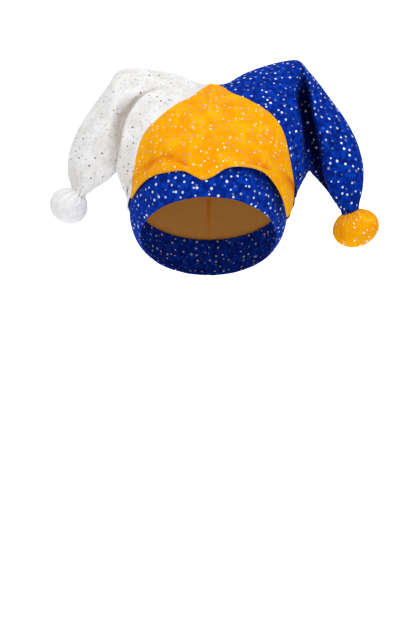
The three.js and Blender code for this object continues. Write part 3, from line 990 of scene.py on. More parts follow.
def linear(red: int, green: int, blue: int) -> tuple[float, float, float, float]:
    """A colour given as the photo's bytes, turned into the linear light that shaders use."""
    def channel(byte: int) -> float:
        share = byte / 255
        return share / 12.92 if share <= 0.04045 else ((share + 0.055) / 1.055) ** 2.4

    return channel(red), channel(green), channel(blue), 1.0


class ShaderBench:
    """Lays shader nodes in a tree and joins them."""

    def __init__(self, tree: bpy.types.NodeTree) -> None:
        """Starts on a tree, which is emptied."""
        self.tree = tree
        tree.nodes.clear()

    def node(self, kind: str, inputs: dict | None = None, **settings: object) -> bpy.types.Node:
        """Lays a node.

        Args:
            kind: The node's type.
            inputs: Values, or sockets to join, by the input's name or place.
            settings: Properties of the node.

        Returns:
            The node.
        """
        made = self.tree.nodes.new(kind)
        for name, value in settings.items():
            setattr(made, name, value)
        for name, value in (inputs or {}).items():
            self.set_input(made, name, value)
        return made

    def set_input(self, node: bpy.types.Node, name: str | int, value: object) -> None:
        """Gives a node's input a value, or joins a socket to it."""
        if isinstance(value, bpy.types.NodeSocket):
            self.tree.links.new(value, node.inputs[name])
        else:
            node.inputs[name].default_value = value

    def sum(self, kind: str, *values: object) -> bpy.types.NodeSocket:
        """The result of a Math node of a kind on its values."""
        return self.node("ShaderNodeMath", dict(enumerate(values)), operation=kind).outputs[0]

    def mix(self, share: object, low: object, high: object) -> bpy.types.NodeSocket:
        """A colour mixed from two by a share."""
        return self.node("ShaderNodeMix", {0: share, 6: low, 7: high}, data_type="RGBA").outputs[2]

    def step(self, value: object, low: object, high: object) -> bpy.types.NodeSocket:
        """A smooth step from 0 to 1 as a value goes from low to high."""
        inputs = {"Value": value, "From Min": low, "From Max": high}
        return self.node("ShaderNodeMapRange", inputs, interpolation_type="SMOOTHSTEP").outputs[0]


def new_group(name: str, inputs: dict[str, str], outputs: dict[str, str]) -> bpy.types.NodeTree:
    """Makes an empty shader node group with named sockets.

    Args:
        name: The group's name.
        inputs: Socket type of each input, by name.
        outputs: Socket type of each output, by name.

    Returns:
        The group.
    """
    group = bpy.data.node_groups.new(name, "ShaderNodeTree")
    for socket, kind in inputs.items():
        group.interface.new_socket(socket, in_out="INPUT", socket_type=kind)
    for socket, kind in outputs.items():
        group.interface.new_socket(socket, in_out="OUTPUT", socket_type=kind)
    return group


FLOAT = "NodeSocketFloat"
VECTOR = "NodeSocketVector"


def foil_dots_group() -> bpy.types.NodeTree:
    """The effect of small foil dots printed on the cloth, each with its own size and a random value that picks
    between its painted glint and its painted dull reflection.
    """
    group = new_group(
        "foil_dots",
        {"Cloth": VECTOR, "Dots per metre": FLOAT, "Radius": FLOAT, "Scatter": FLOAT, "Missing": FLOAT},
        {"Mask": FLOAT, "Tone": FLOAT},
    )
    bench = ShaderBench(group)
    given = bench.node("NodeGroupInput").outputs
    inputs = {"Vector": given["Cloth"], "Scale": given["Dots per metre"], "Randomness": given["Scatter"]}
    cells = bench.node("ShaderNodeTexVoronoi", inputs, voronoi_dimensions="2D")
    chance = bench.node("ShaderNodeSeparateColor", {"Color": cells.outputs["Color"]}).outputs
    size = bench.sum("MULTIPLY", given["Radius"], bench.sum("MULTIPLY_ADD", chance[1], 0.5, 0.75))
    ragged = bench.node("ShaderNodeTexNoise", {"Vector": given["Cloth"], "Scale": 1900.0}).outputs["Fac"]
    away = bench.sum("ADD", cells.outputs["Distance"], bench.sum("MULTIPLY_ADD", ragged, 0.07, -0.035))
    inside = bench.step(bench.sum("DIVIDE", away, size), 1.12, 0.85)
    printed = bench.sum("GREATER_THAN", chance[2], given["Missing"])
    bench.node("NodeGroupOutput", {"Mask": bench.sum("MULTIPLY", inside, printed), "Tone": chance[0]})
    return group


def velour_nap_group() -> bpy.types.NodeTree:
    """The effect of a brushed pile: cloudy patches that lean to and fro, and a fine grain."""
    group = new_group("velour_nap", {"Cloth": VECTOR, "Patch": FLOAT}, {"Lean": FLOAT, "Grain": FLOAT})
    bench = ShaderBench(group)
    given = bench.node("NodeGroupInput").outputs
    broad = {"Vector": given["Cloth"], "Scale": given["Patch"], "Detail": 5.0, "Roughness": 0.68, "Distortion": 0.4}
    cloud = bench.node("ShaderNodeTexNoise", broad, noise_dimensions="2D").outputs["Fac"]
    fine = {"Vector": given["Cloth"], "Scale": 1500.0, "Detail": 2.0, "Roughness": 0.6}
    grain = bench.node("ShaderNodeTexNoise", fine, noise_dimensions="2D").outputs["Fac"]
    lean = bench.step(cloud, 0.3, 0.7)
    bench.node("NodeGroupOutput", {"Lean": lean, "Grain": grain})
    return group


@dataclass(frozen=True)
class Velour:
    """A velour with a brushed pile and foil dots, in one colour."""

    name: str
    slot: str
    dark: tuple[int, int, int]
    middle: tuple[int, int, int]
    light: tuple[int, int, int]
    # Painted reflection on the foil dots: light dots as a glint, dull grey dots as a darker reflection, and the
    # share of dull ones.
    dot_glint: tuple[int, int, int] = (252, 252, 254)
    dot_dull_reflection: tuple[int, int, int] = (170, 175, 190)
    dull_reflection_share: float = 0.25
    dots_per_metre: float = 138
    dot_radius: float = 0.00108
    missing: float = 0.15
    # Painted shade: the colour that the pile and the foil are multiplied by in hollows, folds and pleats.
    shade: tuple[float, float, float] = (0.15, 0.1, 0.18)
    patches: float = 60
    sheen: float = 0.08
    scatter: float = 0.8
    glint_blend: float = 0.2
    # How much of the painted shade falls on the foil dots.
    foil_shade_share: float = 0.8
    pile_roughness: float = 0.9
    foil_roughness: float = 0.35
    foil_metal: float = 0.6
    relief: float = 0.35
    relief_depth: float = 0.0005

    def build(self) -> bpy.types.Material:
        """Builds the material."""
        material = bpy.data.materials.new(self.name)
        material.use_nodes = True
        bench = ShaderBench(material.node_tree)
        cloth = bench.node("ShaderNodeUVMap", uv_map="cloth").outputs["UV"]
        nap = self._group(bench, "velour_nap", {"Cloth": cloth, "Patch": float(self.patches)})
        dots = self._group(bench, "foil_dots", {
            "Cloth": cloth,
            "Dots per metre": float(self.dots_per_metre),
            "Radius": self.dot_radius * self.dots_per_metre,
            "Scatter": self.scatter,
            "Missing": self.missing,
        })
        ramp = bench.node("ShaderNodeValToRGB", {"Fac": nap["Lean"]})
        stops = ramp.color_ramp.elements
        stops[0].color, stops[1].color = linear(*self.dark), linear(*self.light)
        stops.new(0.5).color = linear(*self.middle)
        shade = bench.sum("MULTIPLY_ADD", nap["Grain"], 0.5, 0.75)
        lit = {0: ramp.outputs["Color"], "Scale": shade}
        pile = bench.node("ShaderNodeVectorMath", lit, operation="SCALE")
        # Painted shade: the pile's colour is darkened towards the shade colour where the mesh marks a hollow, a
        # fold and a pleat.
        hollow = bench.node("ShaderNodeAttribute", attribute_name=PAINTED_SHADE).outputs["Fac"]
        shaded = {0: pile.outputs[0], 1: self.shade}
        deep = bench.node("ShaderNodeVectorMath", shaded, operation="MULTIPLY")
        pile = bench.mix(hollow, pile.outputs[0], deep.outputs[0])
        # Painted reflection: each dot's random value picks between a glint colour and a dull grey reflection
        # colour, besides the foil's real metal reflection.
        glint = bench.step(dots["Tone"], self.dull_reflection_share, self.dull_reflection_share + self.glint_blend)
        foil = bench.mix(glint, linear(*self.dot_dull_reflection), linear(*self.dot_glint))
        # Painted shade falls on the foil dots too, where they lie in hollows and folds.
        shaded_foil = bench.node("ShaderNodeVectorMath", {0: foil, 1: self.shade}, operation="MULTIPLY")
        foil = bench.mix(bench.sum("MULTIPLY", hollow, self.foil_shade_share), foil, shaded_foil.outputs[0])
        mask = dots["Mask"]
        height = bench.sum("MULTIPLY_ADD", nap["Lean"], 0.6, bench.sum("MULTIPLY", nap["Grain"], 0.4))
        relief = bench.sum("ADD", bench.sum("MULTIPLY", height, bench.sum("SUBTRACT", 1.0, mask)), mask)
        rise = {"Strength": self.relief, "Distance": self.relief_depth, "Height": relief}
        bump = bench.node("ShaderNodeBump", rise)
        smoother = self.foil_roughness - self.pile_roughness
        shader = bench.node("ShaderNodeBsdfPrincipled", {
            "Base Color": bench.mix(mask, pile, foil),
            "Roughness": bench.sum("MULTIPLY_ADD", mask, smoother, self.pile_roughness),
            "Metallic": bench.sum("MULTIPLY", mask, self.foil_metal),
            "Normal": bump.outputs[0],
            "Specular IOR Level": 0.05,
            "Sheen Weight": self.sheen,
            "Sheen Roughness": 0.4,
            "Sheen Tint": linear(*self.light),
        })
        bench.node("ShaderNodeOutputMaterial", {"Surface": shader.outputs[0]})
        return material

    @staticmethod
    def _group(bench: ShaderBench, name: str, inputs: dict) -> bpy.types.bpy_prop_collection:
        """Lays a shared effect with its own values, and gives its outputs."""
        node = bench.node("ShaderNodeGroup", node_tree=bpy.data.node_groups[name])
        for socket, value in inputs.items():
            bench.set_input(node, socket, value)
        return node.outputs


@dataclass(frozen=True)
class KnitBack:
    """The plain knitted back of the velour, which shows inside the hat."""

    name: str
    colour: tuple[int, int, int]
    wale: float = 0.0011

    def build(self) -> bpy.types.Material:
        """Builds the material."""
        material = bpy.data.materials.new(self.name)
        material.use_nodes = True
        bench = ShaderBench(material.node_tree)
        cloth = bench.node("ShaderNodeUVMap", uv_map="cloth").outputs["UV"]
        ribs = bench.node("ShaderNodeTexWave", {
            "Vector": cloth,
            "Scale": 1 / self.wale / math.tau,
            "Distortion": 0.6,
            "Detail": 2.0,
            "Detail Scale": 3.0,
        })
        base = linear(*self.colour)
        # Painted shade in the ribs' grooves: the colour is darker where the ribs are low.
        deep = tuple(0.82 * part for part in base[:3]) + (1.0,)
        rise = {"Strength": 0.3, "Distance": 0.0002, "Height": ribs.outputs["Fac"]}
        bump = bench.node("ShaderNodeBump", rise)
        shader = bench.node("ShaderNodeBsdfPrincipled", {
            "Base Color": bench.mix(ribs.outputs["Fac"], deep, base),
            "Roughness": 0.95,
            "Normal": bump.outputs[0],
            "Specular IOR Level": 0.15,
        })
        bench.node("ShaderNodeOutputMaterial", {"Surface": shader.outputs[0]})
        return material


class Colour(Enum):
    """The hat's three velours, each with the knit that backs it."""

    BLUE = "blue"
    GOLD = "gold"
    WHITE = "white"


VELOURS = {
    Colour.BLUE: Velour(
        "blue_velour",
        "blue_velour",
        (0, 26, 110),
        (2, 43, 152),
        (4, 66, 190),
        dot_dull_reflection=(110, 122, 160),
        dull_reflection_share=0.35,
        shade=(0.07, 0.04, 0.11),
        patches=170,
        sheen=0.3,
    ),
    Colour.GOLD: Velour(
        "gold_velour",
        "gold_velour",
        (250, 158, 0),
        (252, 172, 3),
        (254, 186, 12),
        dot_glint=(255, 246, 236),
        dot_dull_reflection=(205, 170, 158),
        dull_reflection_share=0.5,
        dots_per_metre=158,
        dot_radius=0.0009,
        shade=(0.85, 0.45, 0.1),
    ),
    Colour.WHITE: Velour(
        "white_velour",
        "white_velour",
        (230, 228, 226),
        (239, 238, 237),
        (247, 247, 247),
        dot_glint=(216, 216, 219),
        dot_dull_reflection=(100, 100, 106),
        dull_reflection_share=0.1,
        dots_per_metre=150,
        dot_radius=0.00085,
        shade=(0.73, 0.68, 0.63),
    ),
}
KNITS = {
    Colour.BLUE: KnitBack("blue_knit", (28, 62, 140)),
    Colour.GOLD: KnitBack("gold_knit", (250, 178, 84)),
    Colour.WHITE: KnitBack("white_knit", (222, 221, 219)),
}


PLAIN_WHITE = replace(
    VELOURS[Colour.WHITE],
    name="plain_white_velour",
    dark=(236, 236, 238),
    middle=(243, 243, 245),
    light=(250, 250, 252),
    missing=1,
    patches=140,
)


GATHERED_GOLD = replace(
    VELOURS[Colour.GOLD],
    name="gathered_gold_velour",
    dots_per_metre=125,
    dot_radius=0.0011,
    missing=0.3,
    dull_reflection_share=0.35,
)


class Wardrobe:
    """Builds each finish once and dresses the pieces in it."""

    def __init__(self) -> None:
        """Builds the shared effects and the finishes."""
        foil_dots_group()
        velour_nap_group()
        self.velours = {colour: finish.build() for colour, finish in VELOURS.items()}
        self.knits = {colour: finish.build() for colour, finish in KNITS.items()}
        self.balls = {Colour.WHITE: PLAIN_WHITE.build(), Colour.GOLD: GATHERED_GOLD.build()}

    def dress(self, piece: bpy.types.Object, colour: Colour, node: str) -> None:
        """Gives a piece its finishes and lets it stand for its CAD node.

        Args:
            piece: The piece.
            colour: Its velour.
            node: The CAD node that it replaces.
        """
        piece.data.materials.append(self.velours[colour])
        piece.data.materials.append(self.knits[colour])
        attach(piece, "root")
        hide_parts(node)


@dataclass
class HeadBand:
    """The band: one length of velour folded double, with its fold at the rim and a seam behind."""

    form: CrownForm
    around: int = 200
    outer_rows: int = 26
    fold_rows: int = 6
    inner_rows: int = 16
    cloth: float = 1.0
    seam_dip: float = 0.9
    seam_width: float = 1.4
    softness: Softness = field(default_factory=lambda: Softness(wave=0.6, wave_length=22, edge_hold=3, seed=3))

    def section(self, row: int) -> tuple[float, float]:
        """The level and the outset of a row, from the top outside, down to the rim and up inside."""
        radius = self.form.band_cloth / 2
        rim = radius / self.form.ring.height
        if row <= self.outer_rows:
            return lerp(1, rim, row / self.outer_rows), self.form.band_cloth
        if row <= self.outer_rows + self.fold_rows:
            angle = math.pi * (row - self.outer_rows) / self.fold_rows
            return rim * (1 - math.sin(angle)), radius * (1 + math.cos(angle))
        row -= self.outer_rows + self.fold_rows
        return lerp(rim, 1, row / self.inner_rows), 0

    def build(self) -> bpy.types.Object:
        """Builds the band's mesh."""
        rows = self.outer_rows + self.fold_rows + self.inner_rows
        sheet = ClothSheet(self.around, rows)

        def spot(column: int, row: int) -> Vector:
            """The place of a point of the band."""
            level, outset = self.section(row)
            return self.form.ring.point(level, 360 * column / self.around - 90, outset)

        sheet.place(spot, turned_over=False)
        ends = [sheet.cells[column, row] for column in (0, self.around) for row in range(rows + 1)]
        bmesh.ops.remove_doubles(sheet.bm, verts=ends, dist=WELD)
        sheet.bm.normal_update()
        for vert in sheet.bm.verts:
            behind = vert.co.y > 0
            dip = self.seam_dip * math.exp(-((vert.co.x / self.seam_width) ** 2)) if behind else 0
            vert.co -= vert.normal * dip
        for edge in sheet.bm.edges:
            edge.seam = all(abs(v.co.x) < 0.01 and v.co.y > 0 for v in edge.verts)
        sheet.crease((), self.softness)
        return sheet.finish("band_cloth", self.cloth)


@dataclass
class LeafHalf:
    """Half of a gold leaf, from its middle seam to its outer edge, with its scalloped hem."""

    form: CrownForm
    horn: Horn
    face: Face
    scallop: ShareTable
    tip_share: float
    stand_off: float
    drawn: float = 0
    creases: tuple[Crease, ...] = ()
    columns: int = 46
    apron_rows: int = 16
    turn_rows: int = 56
    cloth: float = 1.0
    seam_radius: float = 0.7
    seam_run: float = 4
    middle_turn_in: float = 0.12
    end_turn_in: float = 0.2
    hem_radius: float = 1.0
    hem_run: float = 5

    def spot(self, column: int, row: int) -> Vector:
        """The place of a point of the leaf."""
        along = column / self.columns
        if row < self.apron_rows:
            down = 1 - row / self.apron_rows
            level = lerp(self.form.lap_level, self.scallop.look_up("along", "level", along), down)
            station = along * self.horn.foot_station * lerp(1, self.tip_share, math.sqrt(down))
            off = self.stand_off * down * along**self.form.stand_off_power
            return self.form.hem_point(self.horn, self.face, station, level, off, self.drawn * down)
        share = (row - self.apron_rows) / self.turn_rows
        turn, station = self.horn.edge_row(share)
        turn = lerp((turn + share) / 2, turn, along)
        return self.form.face_point(self.horn, self.face, along * station, turn)

    def build(self, name: str) -> bpy.types.Object:
        """Builds the half's mesh."""
        rows = self.apron_rows + self.turn_rows
        sheet = ClothSheet(self.columns, rows)
        sheet.place(self.spot, turned_over=self.horn.side.value * self.face.value < 0)
        sheet.crease(self.creases, Softness(seed=self.horn.side.value + 5 * self.face.value))
        # Painted shade: the leaf's creases and hollows are marked for the colour to be darkened there.
        sheet.paint_hollow_shade()
        full = self.apron_rows + SEAM_EASE_CELLS
        peak = rows + 1
        sewn = {}
        for row in range(rows + 1):
            start = ease(row, self.apron_rows, full)
            nub = ease(row, peak, peak - SEAM_EASE_CELLS)
            sewn[0, row] = lerp(self.middle_turn_in, 1, start) * nub
        for column in range(self.columns + 1):
            sewn[column, rows] = lerp(self.end_turn_in, 1, ease(column, 0, SEAM_EASE_CELLS))
        for row in range(self.apron_rows, rows + 1):
            start = ease(row, self.apron_rows, full)
            sewn[self.columns, row] = lerp(self.end_turn_in, 1, start)
        hem = {(column, 0): 1.0 for column in range(self.columns + 1)}
        sheet.turn_in(sewn, self.seam_radius, SEAM_TURN, self.seam_run)
        sheet.turn_in(hem, self.hem_radius, HEM_TURN, self.hem_run)
        return sheet.finish(name, self.cloth)


@dataclass
class HornPanel:
    """One face of a horn, from the leaf's outer edge to the neck where the pompom is sewn on."""

    form: CrownForm
    horn: Horn
    face: Face
    creases: tuple[Crease, ...] = ()
    lap: float = 8
    crown_columns: int = 30
    horn_columns: int = 84
    lap_rows: int = 5
    turn_rows: int = 64
    side_columns: int = 8
    side_rows: int = 12
    side_rounds: int = 10
    gathers: int = 5
    gather_depth: float = 1.1
    gather_columns: int = 20
    frill: float = 1.7
    frill_columns: int = 5
    cloth: float = 1.0
    seam_radius: float = 0.8
    seam_run: float = 4
    foot_turn_in: float = 0.2
    side_turn_in: float = 0.15
    neck_turn_in: float = 0.35
    thin_columns: int = 24

    def section(self, column: int, row: int) -> tuple[float, float]:
        """The station and the turn of a point of the panel."""
        side = self.form.side_station
        share = max(0.0, (row - self.lap_rows) / self.turn_rows)
        turn, start = self.horn.edge_row(share)
        if column <= self.crown_columns:
            part = column / self.crown_columns
            return lerp(start, side, part), lerp(turn, share, part)
        past = (column - self.crown_columns) / self.horn_columns
        return lerp(side, self.form.neck_station, past), share

    def spot(self, column: int, row: int) -> Vector | None:
        """The place of a point of the panel, or None past the side seam below the horn."""
        station, turn = self.section(column, row)
        if row >= self.lap_rows:
            return self.form.face_point(self.horn, self.face, station, turn)
        if column > self.crown_columns:
            return None
        level = lerp(1 - self.lap / self.form.ring.height, 1, row / self.lap_rows)
        draw = 0 if self.face is Face.FRONT else 1 - row / self.lap_rows
        return self.form.hem_point(self.horn, self.face, station, level, 0, draw)

    def build(self, name: str) -> bpy.types.Object:
        """Builds the panel's mesh."""
        columns, rows = self.crown_columns + self.horn_columns, self.lap_rows + self.turn_rows
        sheet = ClothSheet(columns, rows)
        sheet.place(self.spot, turned_over=self.horn.side.value * self.face.value < 0)
        self._soften_side(sheet)
        sheet.crease(self.creases, Softness(seed=20 + self.horn.side.value + 5 * self.face.value))
        self._gather(sheet, columns)
        # Painted shade: the hollows and the horn's fold, darkest beside its sharp edge, are marked for the colour
        # to be darkened there.
        sheet.paint_hollow_shade()
        for (column, row), vert in sheet.cells.items():
            shade = self.form.fold_shade(self.horn, self.face, *self.section(column, row))
            vert[sheet.hollow] = max(vert[sheet.hollow], shade)
        sewn = {}
        for row in range(self.lap_rows, rows + 1):
            start = ease(row, self.lap_rows, self.lap_rows + SEAM_EASE_CELLS)
            sewn[0, row] = lerp(self.foot_turn_in, 1, start)
        for column in range(columns + 1):
            thin = lerp(1, self.neck_turn_in, ease(column, columns - self.thin_columns, columns))
            sewn[column, rows] = thin
            if column > self.crown_columns:
                start = ease(column, self.crown_columns, self.crown_columns + SEAM_EASE_CELLS)
                sewn[column, self.lap_rows] = thin * lerp(self.side_turn_in, 1, start)
        sheet.turn_in(sewn, self.seam_radius, SEAM_TURN, self.seam_run)
        return sheet.finish(name, self.cloth)

    def _soften_side(self, sheet: ClothSheet) -> None:
        """Smooths the cloth where it turns from the lap on the band into the seam under the horn."""
        near = [
            vert for (column, row), vert in sheet.cells.items()
            if abs(column - self.crown_columns) <= self.side_columns
            and row <= self.lap_rows + self.side_rows
            and not vert.is_boundary
        ]
        smooth_points(sheet.bm, near, self.side_rounds)

    def _gather(self, sheet: ClothSheet, columns: int) -> None:
        """Draws the cloth into pleats towards the neck, where its end flares into a small frill."""
        lifts = {}
        for (column, row), vert in sheet.cells.items():
            share = clamp((row - self.lap_rows) / self.turn_rows, 0, 1)
            near = ease(column, columns - self.gather_columns, columns)
            last = ease(column, columns - self.frill_columns, columns)
            wave = abs(math.sin(math.pi * self.gathers * share)) - 0.6
            lift = wave * self.gather_depth * near + (1 + 0.6 * wave) * self.frill * last
            lifts[vert] = vert.normal * lift * ease(math.sin(math.pi * share), 0, 0.3)
        for vert, lift in lifts.items():
            vert.co += lift


@dataclass
class Pompom:
    """A stuffed ball of velour, blown up as cloth and gathered in pleats at the horn's neck."""

    form: CrownForm
    horn: Horn
    radius: float
    length: float
    pleats: int = 15
    pleat_depth: float = 1.9
    pleat_reach: float = 0.85
    neck_hold: float = 0.45
    start_share: float = 0.95
    puff_scale: float = 10
    puff_pressure: float = 4
    puff_frames: int = 20
    puff_limit: float = 1.2
    seat: float = 2.1
    dimple: float = 2.6
    dimple_reach: float = 0.24
    lump: float = 0.35
    # How dark the painted shade in the pleats gets.
    pleat_shade: float = 0.8
    fineness: int = 6
    seed: float = 0

    def build(self, name: str) -> bpy.types.Object:
        """Builds the ball's mesh.

        Args:
            name: The ball's name.

        Returns:
            The ball.
        """
        bm = bmesh.new()
        bmesh.ops.create_icosphere(bm, subdivisions=self.fineness, radius=1)
        wide, tall = (
            self.start_share * size * MM * self.puff_scale for size in (self.radius, self.length)
        )
        bmesh.ops.scale(bm, vec=(wide, wide, tall), verts=bm.verts)
        ball = make_object(name, bm)
        self._puff(ball)
        self._gather(ball)
        add_subdivision(ball, 1)
        return ball

    def _puff(self, ball: bpy.types.Object) -> None:
        """Blows the ball up as cloth under pressure, held at its neck, and keeps the result."""
        held = ball.vertex_groups.new(name="neck")
        for vert in ball.data.vertices:
            from_neck = math.acos(clamp(vert.co.normalized().z, -1, 1))
            held.add([vert.index], 1 - ease(from_neck, self.neck_hold / 2, self.neck_hold), "REPLACE")
        cloth = ball.modifiers.new("stuffing", "CLOTH")
        cloth.settings.vertex_group_mass = held.name
        cloth.settings.use_pressure = True
        cloth.settings.uniform_pressure_force = self.puff_pressure
        cloth.settings.effector_weights.gravity = 0
        scene = bpy.context.scene
        for frame_number in range(1, self.puff_frames + 1):
            scene.frame_set(frame_number)
        puffed = ball.evaluated_get(bpy.context.evaluated_depsgraph_get()).data
        limit = self.puff_limit * MM * self.puff_scale
        spots = []
        for old, new in zip(ball.data.vertices, puffed.vertices):
            move = new.co - old.co
            spots.append(old.co + move * min(1.0, limit / max(move.length, MM)))
        ball.modifiers.remove(cloth)
        ball.vertex_groups.remove(held)
        scene.frame_set(1)
        for vert, spot in zip(ball.data.vertices, spots):
            vert.co = spot

    def _gather(self, ball: bpy.types.Object) -> None:
        """Presses the pleats into the ball with painted shade in them, lays its pattern flat and moves it to the
        neck.
        """
        bm = bmesh.new()
        bm.from_mesh(ball.data)
        reach = max(vert.co.xy.length for vert in bm.verts)
        height = max(abs(vert.co.z) for vert in bm.verts)
        fit = (self.radius / reach, self.radius / reach, self.length / height)
        bmesh.ops.scale(bm, vec=fit, verts=bm.verts)
        layer = bm.loops.layers.uv.new("cloth")
        hollow = bm.verts.layers.float.new(PAINTED_SHADE)
        flat = {}
        for vert in bm.verts:
            x, y, z = vert.co
            way = Vector((x / self.radius, y / self.radius, z / self.length)).normalized()
            turn = math.atan2(way.y, way.x)
            from_neck = math.acos(clamp(way.z, -1, 1))
            out = (math.pi - from_neck) * (self.radius + self.length) / 2 * MM
            flat[vert] = Vector((out * math.cos(turn), out * math.sin(turn)))
            press = self._press(turn, from_neck)
            dimple = self.dimple * math.exp(-((from_neck / self.dimple_reach) ** 2))
            soft = self.lump * noise.noise(way * 3 + Vector((self.seed, 0, 0)))
            # Painted shade in the pleats, darkest where they press in deepest.
            vert[hollow] = clamp(press * self.pleat_shade, 0, 1)
            vert.co += way * (soft - press * self.pleat_depth) - Vector((0, 0, dimple))
        for face in bm.faces:
            for loop in face.loops:
                loop[layer].uv = flat[loop.vert]
        centre, axis = self.form.neck(self.horn)
        middle = centre + axis * (self.form.seam_gap + self.length - self.seat)
        turned = (-axis).to_track_quat("Z", "Y").to_matrix().to_4x4()
        bmesh.ops.transform(bm, matrix=Matrix.Translation(middle) @ turned, verts=bm.verts)
        bmesh.ops.scale(bm, vec=(MM, MM, MM), verts=bm.verts)
        bm.to_mesh(ball.data)
        bm.free()
        ball.data.shade_smooth()

    def _press(self, turn: float, from_neck: float) -> float:
        """How hard a pleat presses in at a place on the ball, from 0 to 1."""
        around = Vector((math.cos(turn), math.sin(turn), self.seed))
        wave = abs(math.sin(self.pleats * turn / 2 + 1.3 * noise.noise(around * 2.2)))
        reach = self.pleat_reach * (1 + 0.8 * noise.noise(around * 3 + Vector((0, 0, 9))))
        return math.exp(-((from_neck / reach) ** 1.6)) * (1 - wave) * ease(from_neck, 0, 0.15)


@dataclass(frozen=True)
class Studio:
    """A plain pale floor, soft lights and the camera at the photo's angle."""

    camera_place: tuple[float, float, float] = (1.5, -1500, 200)
    camera_aim: tuple[float, float, float] = (1.5, 0, -78)
    sensor: float = 36
    sky_strength: float = 0.73
    floor_glow: float = 0.75
    floor_drop: float = 2100
    floor_width: float = 3400
    floor_depth: float = 5000
    wall_place: float = 4000
    wall_height: float = 4500
    corner_radius: float = 1200

    def build(self) -> None:
        """Builds the floor, the lights, the sky and the camera."""
        self._floor()
        self._light("key_light", (260, -950, 1350), (0, 0, 60), 1300, 10.5)
        world = bpy.data.worlds.new("sky")
        world.use_nodes = True
        sky = world.node_tree.nodes["Background"]
        sky.inputs["Color"].default_value = (1.0, 1.0, 1.0, 1.0)
        sky.inputs["Strength"].default_value = self.sky_strength
        bpy.context.scene.world = world
        bpy.context.scene.view_settings.view_transform = "Standard"
        self._camera()

    def _floor(self) -> None:
        """Lays the floor, which sweeps up into the backdrop."""
        bm = bmesh.new()
        bmesh.ops.create_grid(bm, x_segments=1, y_segments=24, size=0.5)
        bend_start = self.wall_place - self.corner_radius
        bend = self.corner_radius * math.pi / 2
        for vert in bm.verts:
            run = self.wall_place - self.floor_depth + (vert.co.y + 0.5) * (self.floor_depth + self.wall_height)
            angle = clamp((run - bend_start) / bend, 0, 1) * math.pi / 2
            past = max(0.0, run - bend_start - bend)
            flat = min(run, bend_start) + self.corner_radius * math.sin(angle)
            rise = self.corner_radius * (1 - math.cos(angle)) + past
            vert.co = Vector((vert.co.x * self.floor_width, flat, rise - self.floor_drop)) * MM
        floor = make_object("floor", bm)
        paint = bpy.data.materials.new("floor_paint")
        paint.use_nodes = True
        shader = paint.node_tree.nodes["Principled BSDF"]
        shader.inputs["Base Color"].default_value = (0.9, 0.9, 0.9, 1)
        shader.inputs["Roughness"].default_value = 0.9
        shader.inputs["Emission Color"].default_value = (1, 1, 1, 1)
        shader.inputs["Emission Strength"].default_value = self.floor_glow
        floor.data.materials.append(paint)

    @staticmethod
    def _light(name: str, place: tuple, aim: tuple, size: float, power: float) -> None:
        """Hangs a soft square light.

        Args:
            name: The light's name.
            place: Where it hangs.
            aim: The point that it shines at.
            size: Its width.
            power: Its power in watts.
        """
        lamp = bpy.data.lights.new(name, "AREA")
        lamp.size = size * MM
        lamp.energy = power
        hung = bpy.data.objects.new(name, lamp)
        hung.location = Vector(place) * MM
        beam = Vector(aim) - Vector(place)
        hung.rotation_euler = beam.to_track_quat("-Z", "Y").to_euler()
        bpy.context.scene.collection.objects.link(hung)

    def _camera(self) -> None:
        """Stands the camera so that a millimetre at the rim's centre is a pixel of the photo."""
        place, aim = Vector(self.camera_place), Vector(self.camera_aim)
        look = (aim - place).normalized()
        focus = (-place).dot(look)
        lens = bpy.data.cameras.new("camera")
        lens.sensor_width = self.sensor
        lens.lens = focus / PHOTO_HEIGHT_PX * self.sensor
        lens.clip_end = 100
        camera = bpy.data.objects.new("camera", lens)
        camera.location = place * MM
        camera.rotation_euler = look.to_track_quat("-Z", "Y").to_euler()
        bpy.context.scene.collection.objects.link(camera)
        bpy.context.scene.camera = camera


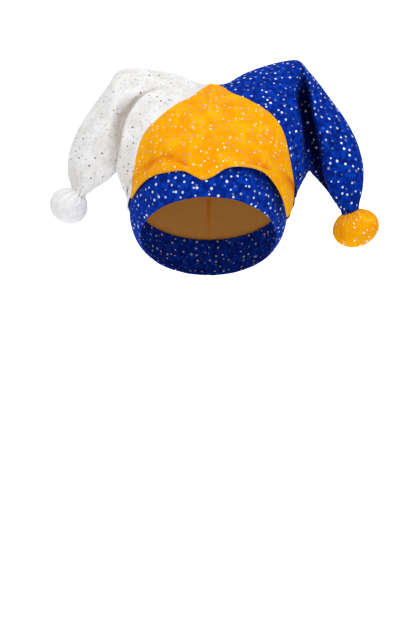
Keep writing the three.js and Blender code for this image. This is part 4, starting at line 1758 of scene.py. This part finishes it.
@dataclass
class JesterHat:
    """The whole hat."""

    form: CrownForm = field(default_factory=CrownForm)

    def build(self, wardrobe: Wardrobe) -> None:
        """Builds and dresses every piece.

        Args:
            wardrobe: The finishes.
        """
        band = HeadBand(self.form).build()
        wardrobe.dress(band, Colour.BLUE, "head_band")
        self._declare(band, "stretched", ())
        for side, face, scallop, tip_share, stand_off in (
            (LEFT_HORN, Face.FRONT, LEFT_SCALLOP, 1.016, 1),
            (RIGHT_HORN, Face.FRONT, RIGHT_SCALLOP, 0.86, 4.5),
            (LEFT_HORN, Face.BACK, LEFT_SCALLOP, 1.016, 1),
            (BACK_RIGHT_HORN, Face.BACK, BACK_RIGHT_SCALLOP, 0.86, 1),
        ):
            where = f"{face.name.lower()}_leaf_{side.side.name.lower()}_half"
            drawn = 0 if face is Face.FRONT else 1
            creases = LEAF_CREASES[side.side] if face is Face.FRONT else ()
            half = LeafHalf(self.form, side, face, scallop, tip_share, stand_off, drawn, creases)
            piece = half.build(where.replace("half", "cloth"))
            wardrobe.dress(piece, Colour.GOLD, where)
            self._declare(piece, "draped", ("head_band",))
        for horn, face, colour in (
            (LEFT_HORN, Face.FRONT, Colour.WHITE),
            (LEFT_HORN, Face.BACK, Colour.BLUE),
            (RIGHT_HORN, Face.FRONT, Colour.BLUE),
            (BACK_RIGHT_HORN, Face.BACK, Colour.WHITE),
        ):
            where = f"{horn.side.name.lower()}_horn_{face.name.lower()}_panel"
            creases = HORN_CREASES[horn.side]
            lap = FRONT_LAP if face is Face.FRONT else BACK_LAP
            panel = HornPanel(self.form, horn, face, creases, lap)
            piece = panel.build(where.replace("panel", "cloth"))
            wardrobe.dress(piece, colour, where)
            self._declare(piece, "draped", ("head_band",))
        for horn, colour, radius, length in (
            (LEFT_HORN, Colour.WHITE, 19.8, 18.3),
            (RIGHT_HORN, Colour.GOLD, 23.8, 19),
        ):
            where = f"{colour.value}_pompom"
            ball = Pompom(self.form, horn, radius, length, seed=horn.side.value).build(f"{where}_cloth")
            wardrobe.dress(ball, colour, where)
            ball.data.materials[0] = wardrobe.balls[colour]
            log.info("%s", ball.name)

    @staticmethod
    def _declare(piece: bpy.types.Object, held: str, rests_on: tuple[str, ...]) -> None:
        """Takes a piece, how it is held and what it rests on, and does nothing with them."""


def main() -> None:
    """Builds the studio and the hat."""
    logging.basicConfig(level=logging.INFO, format="%(name)s: %(message)s")
    Studio().build()
    JesterHat().build(Wardrobe())


if __name__ == "__main__":
    main()
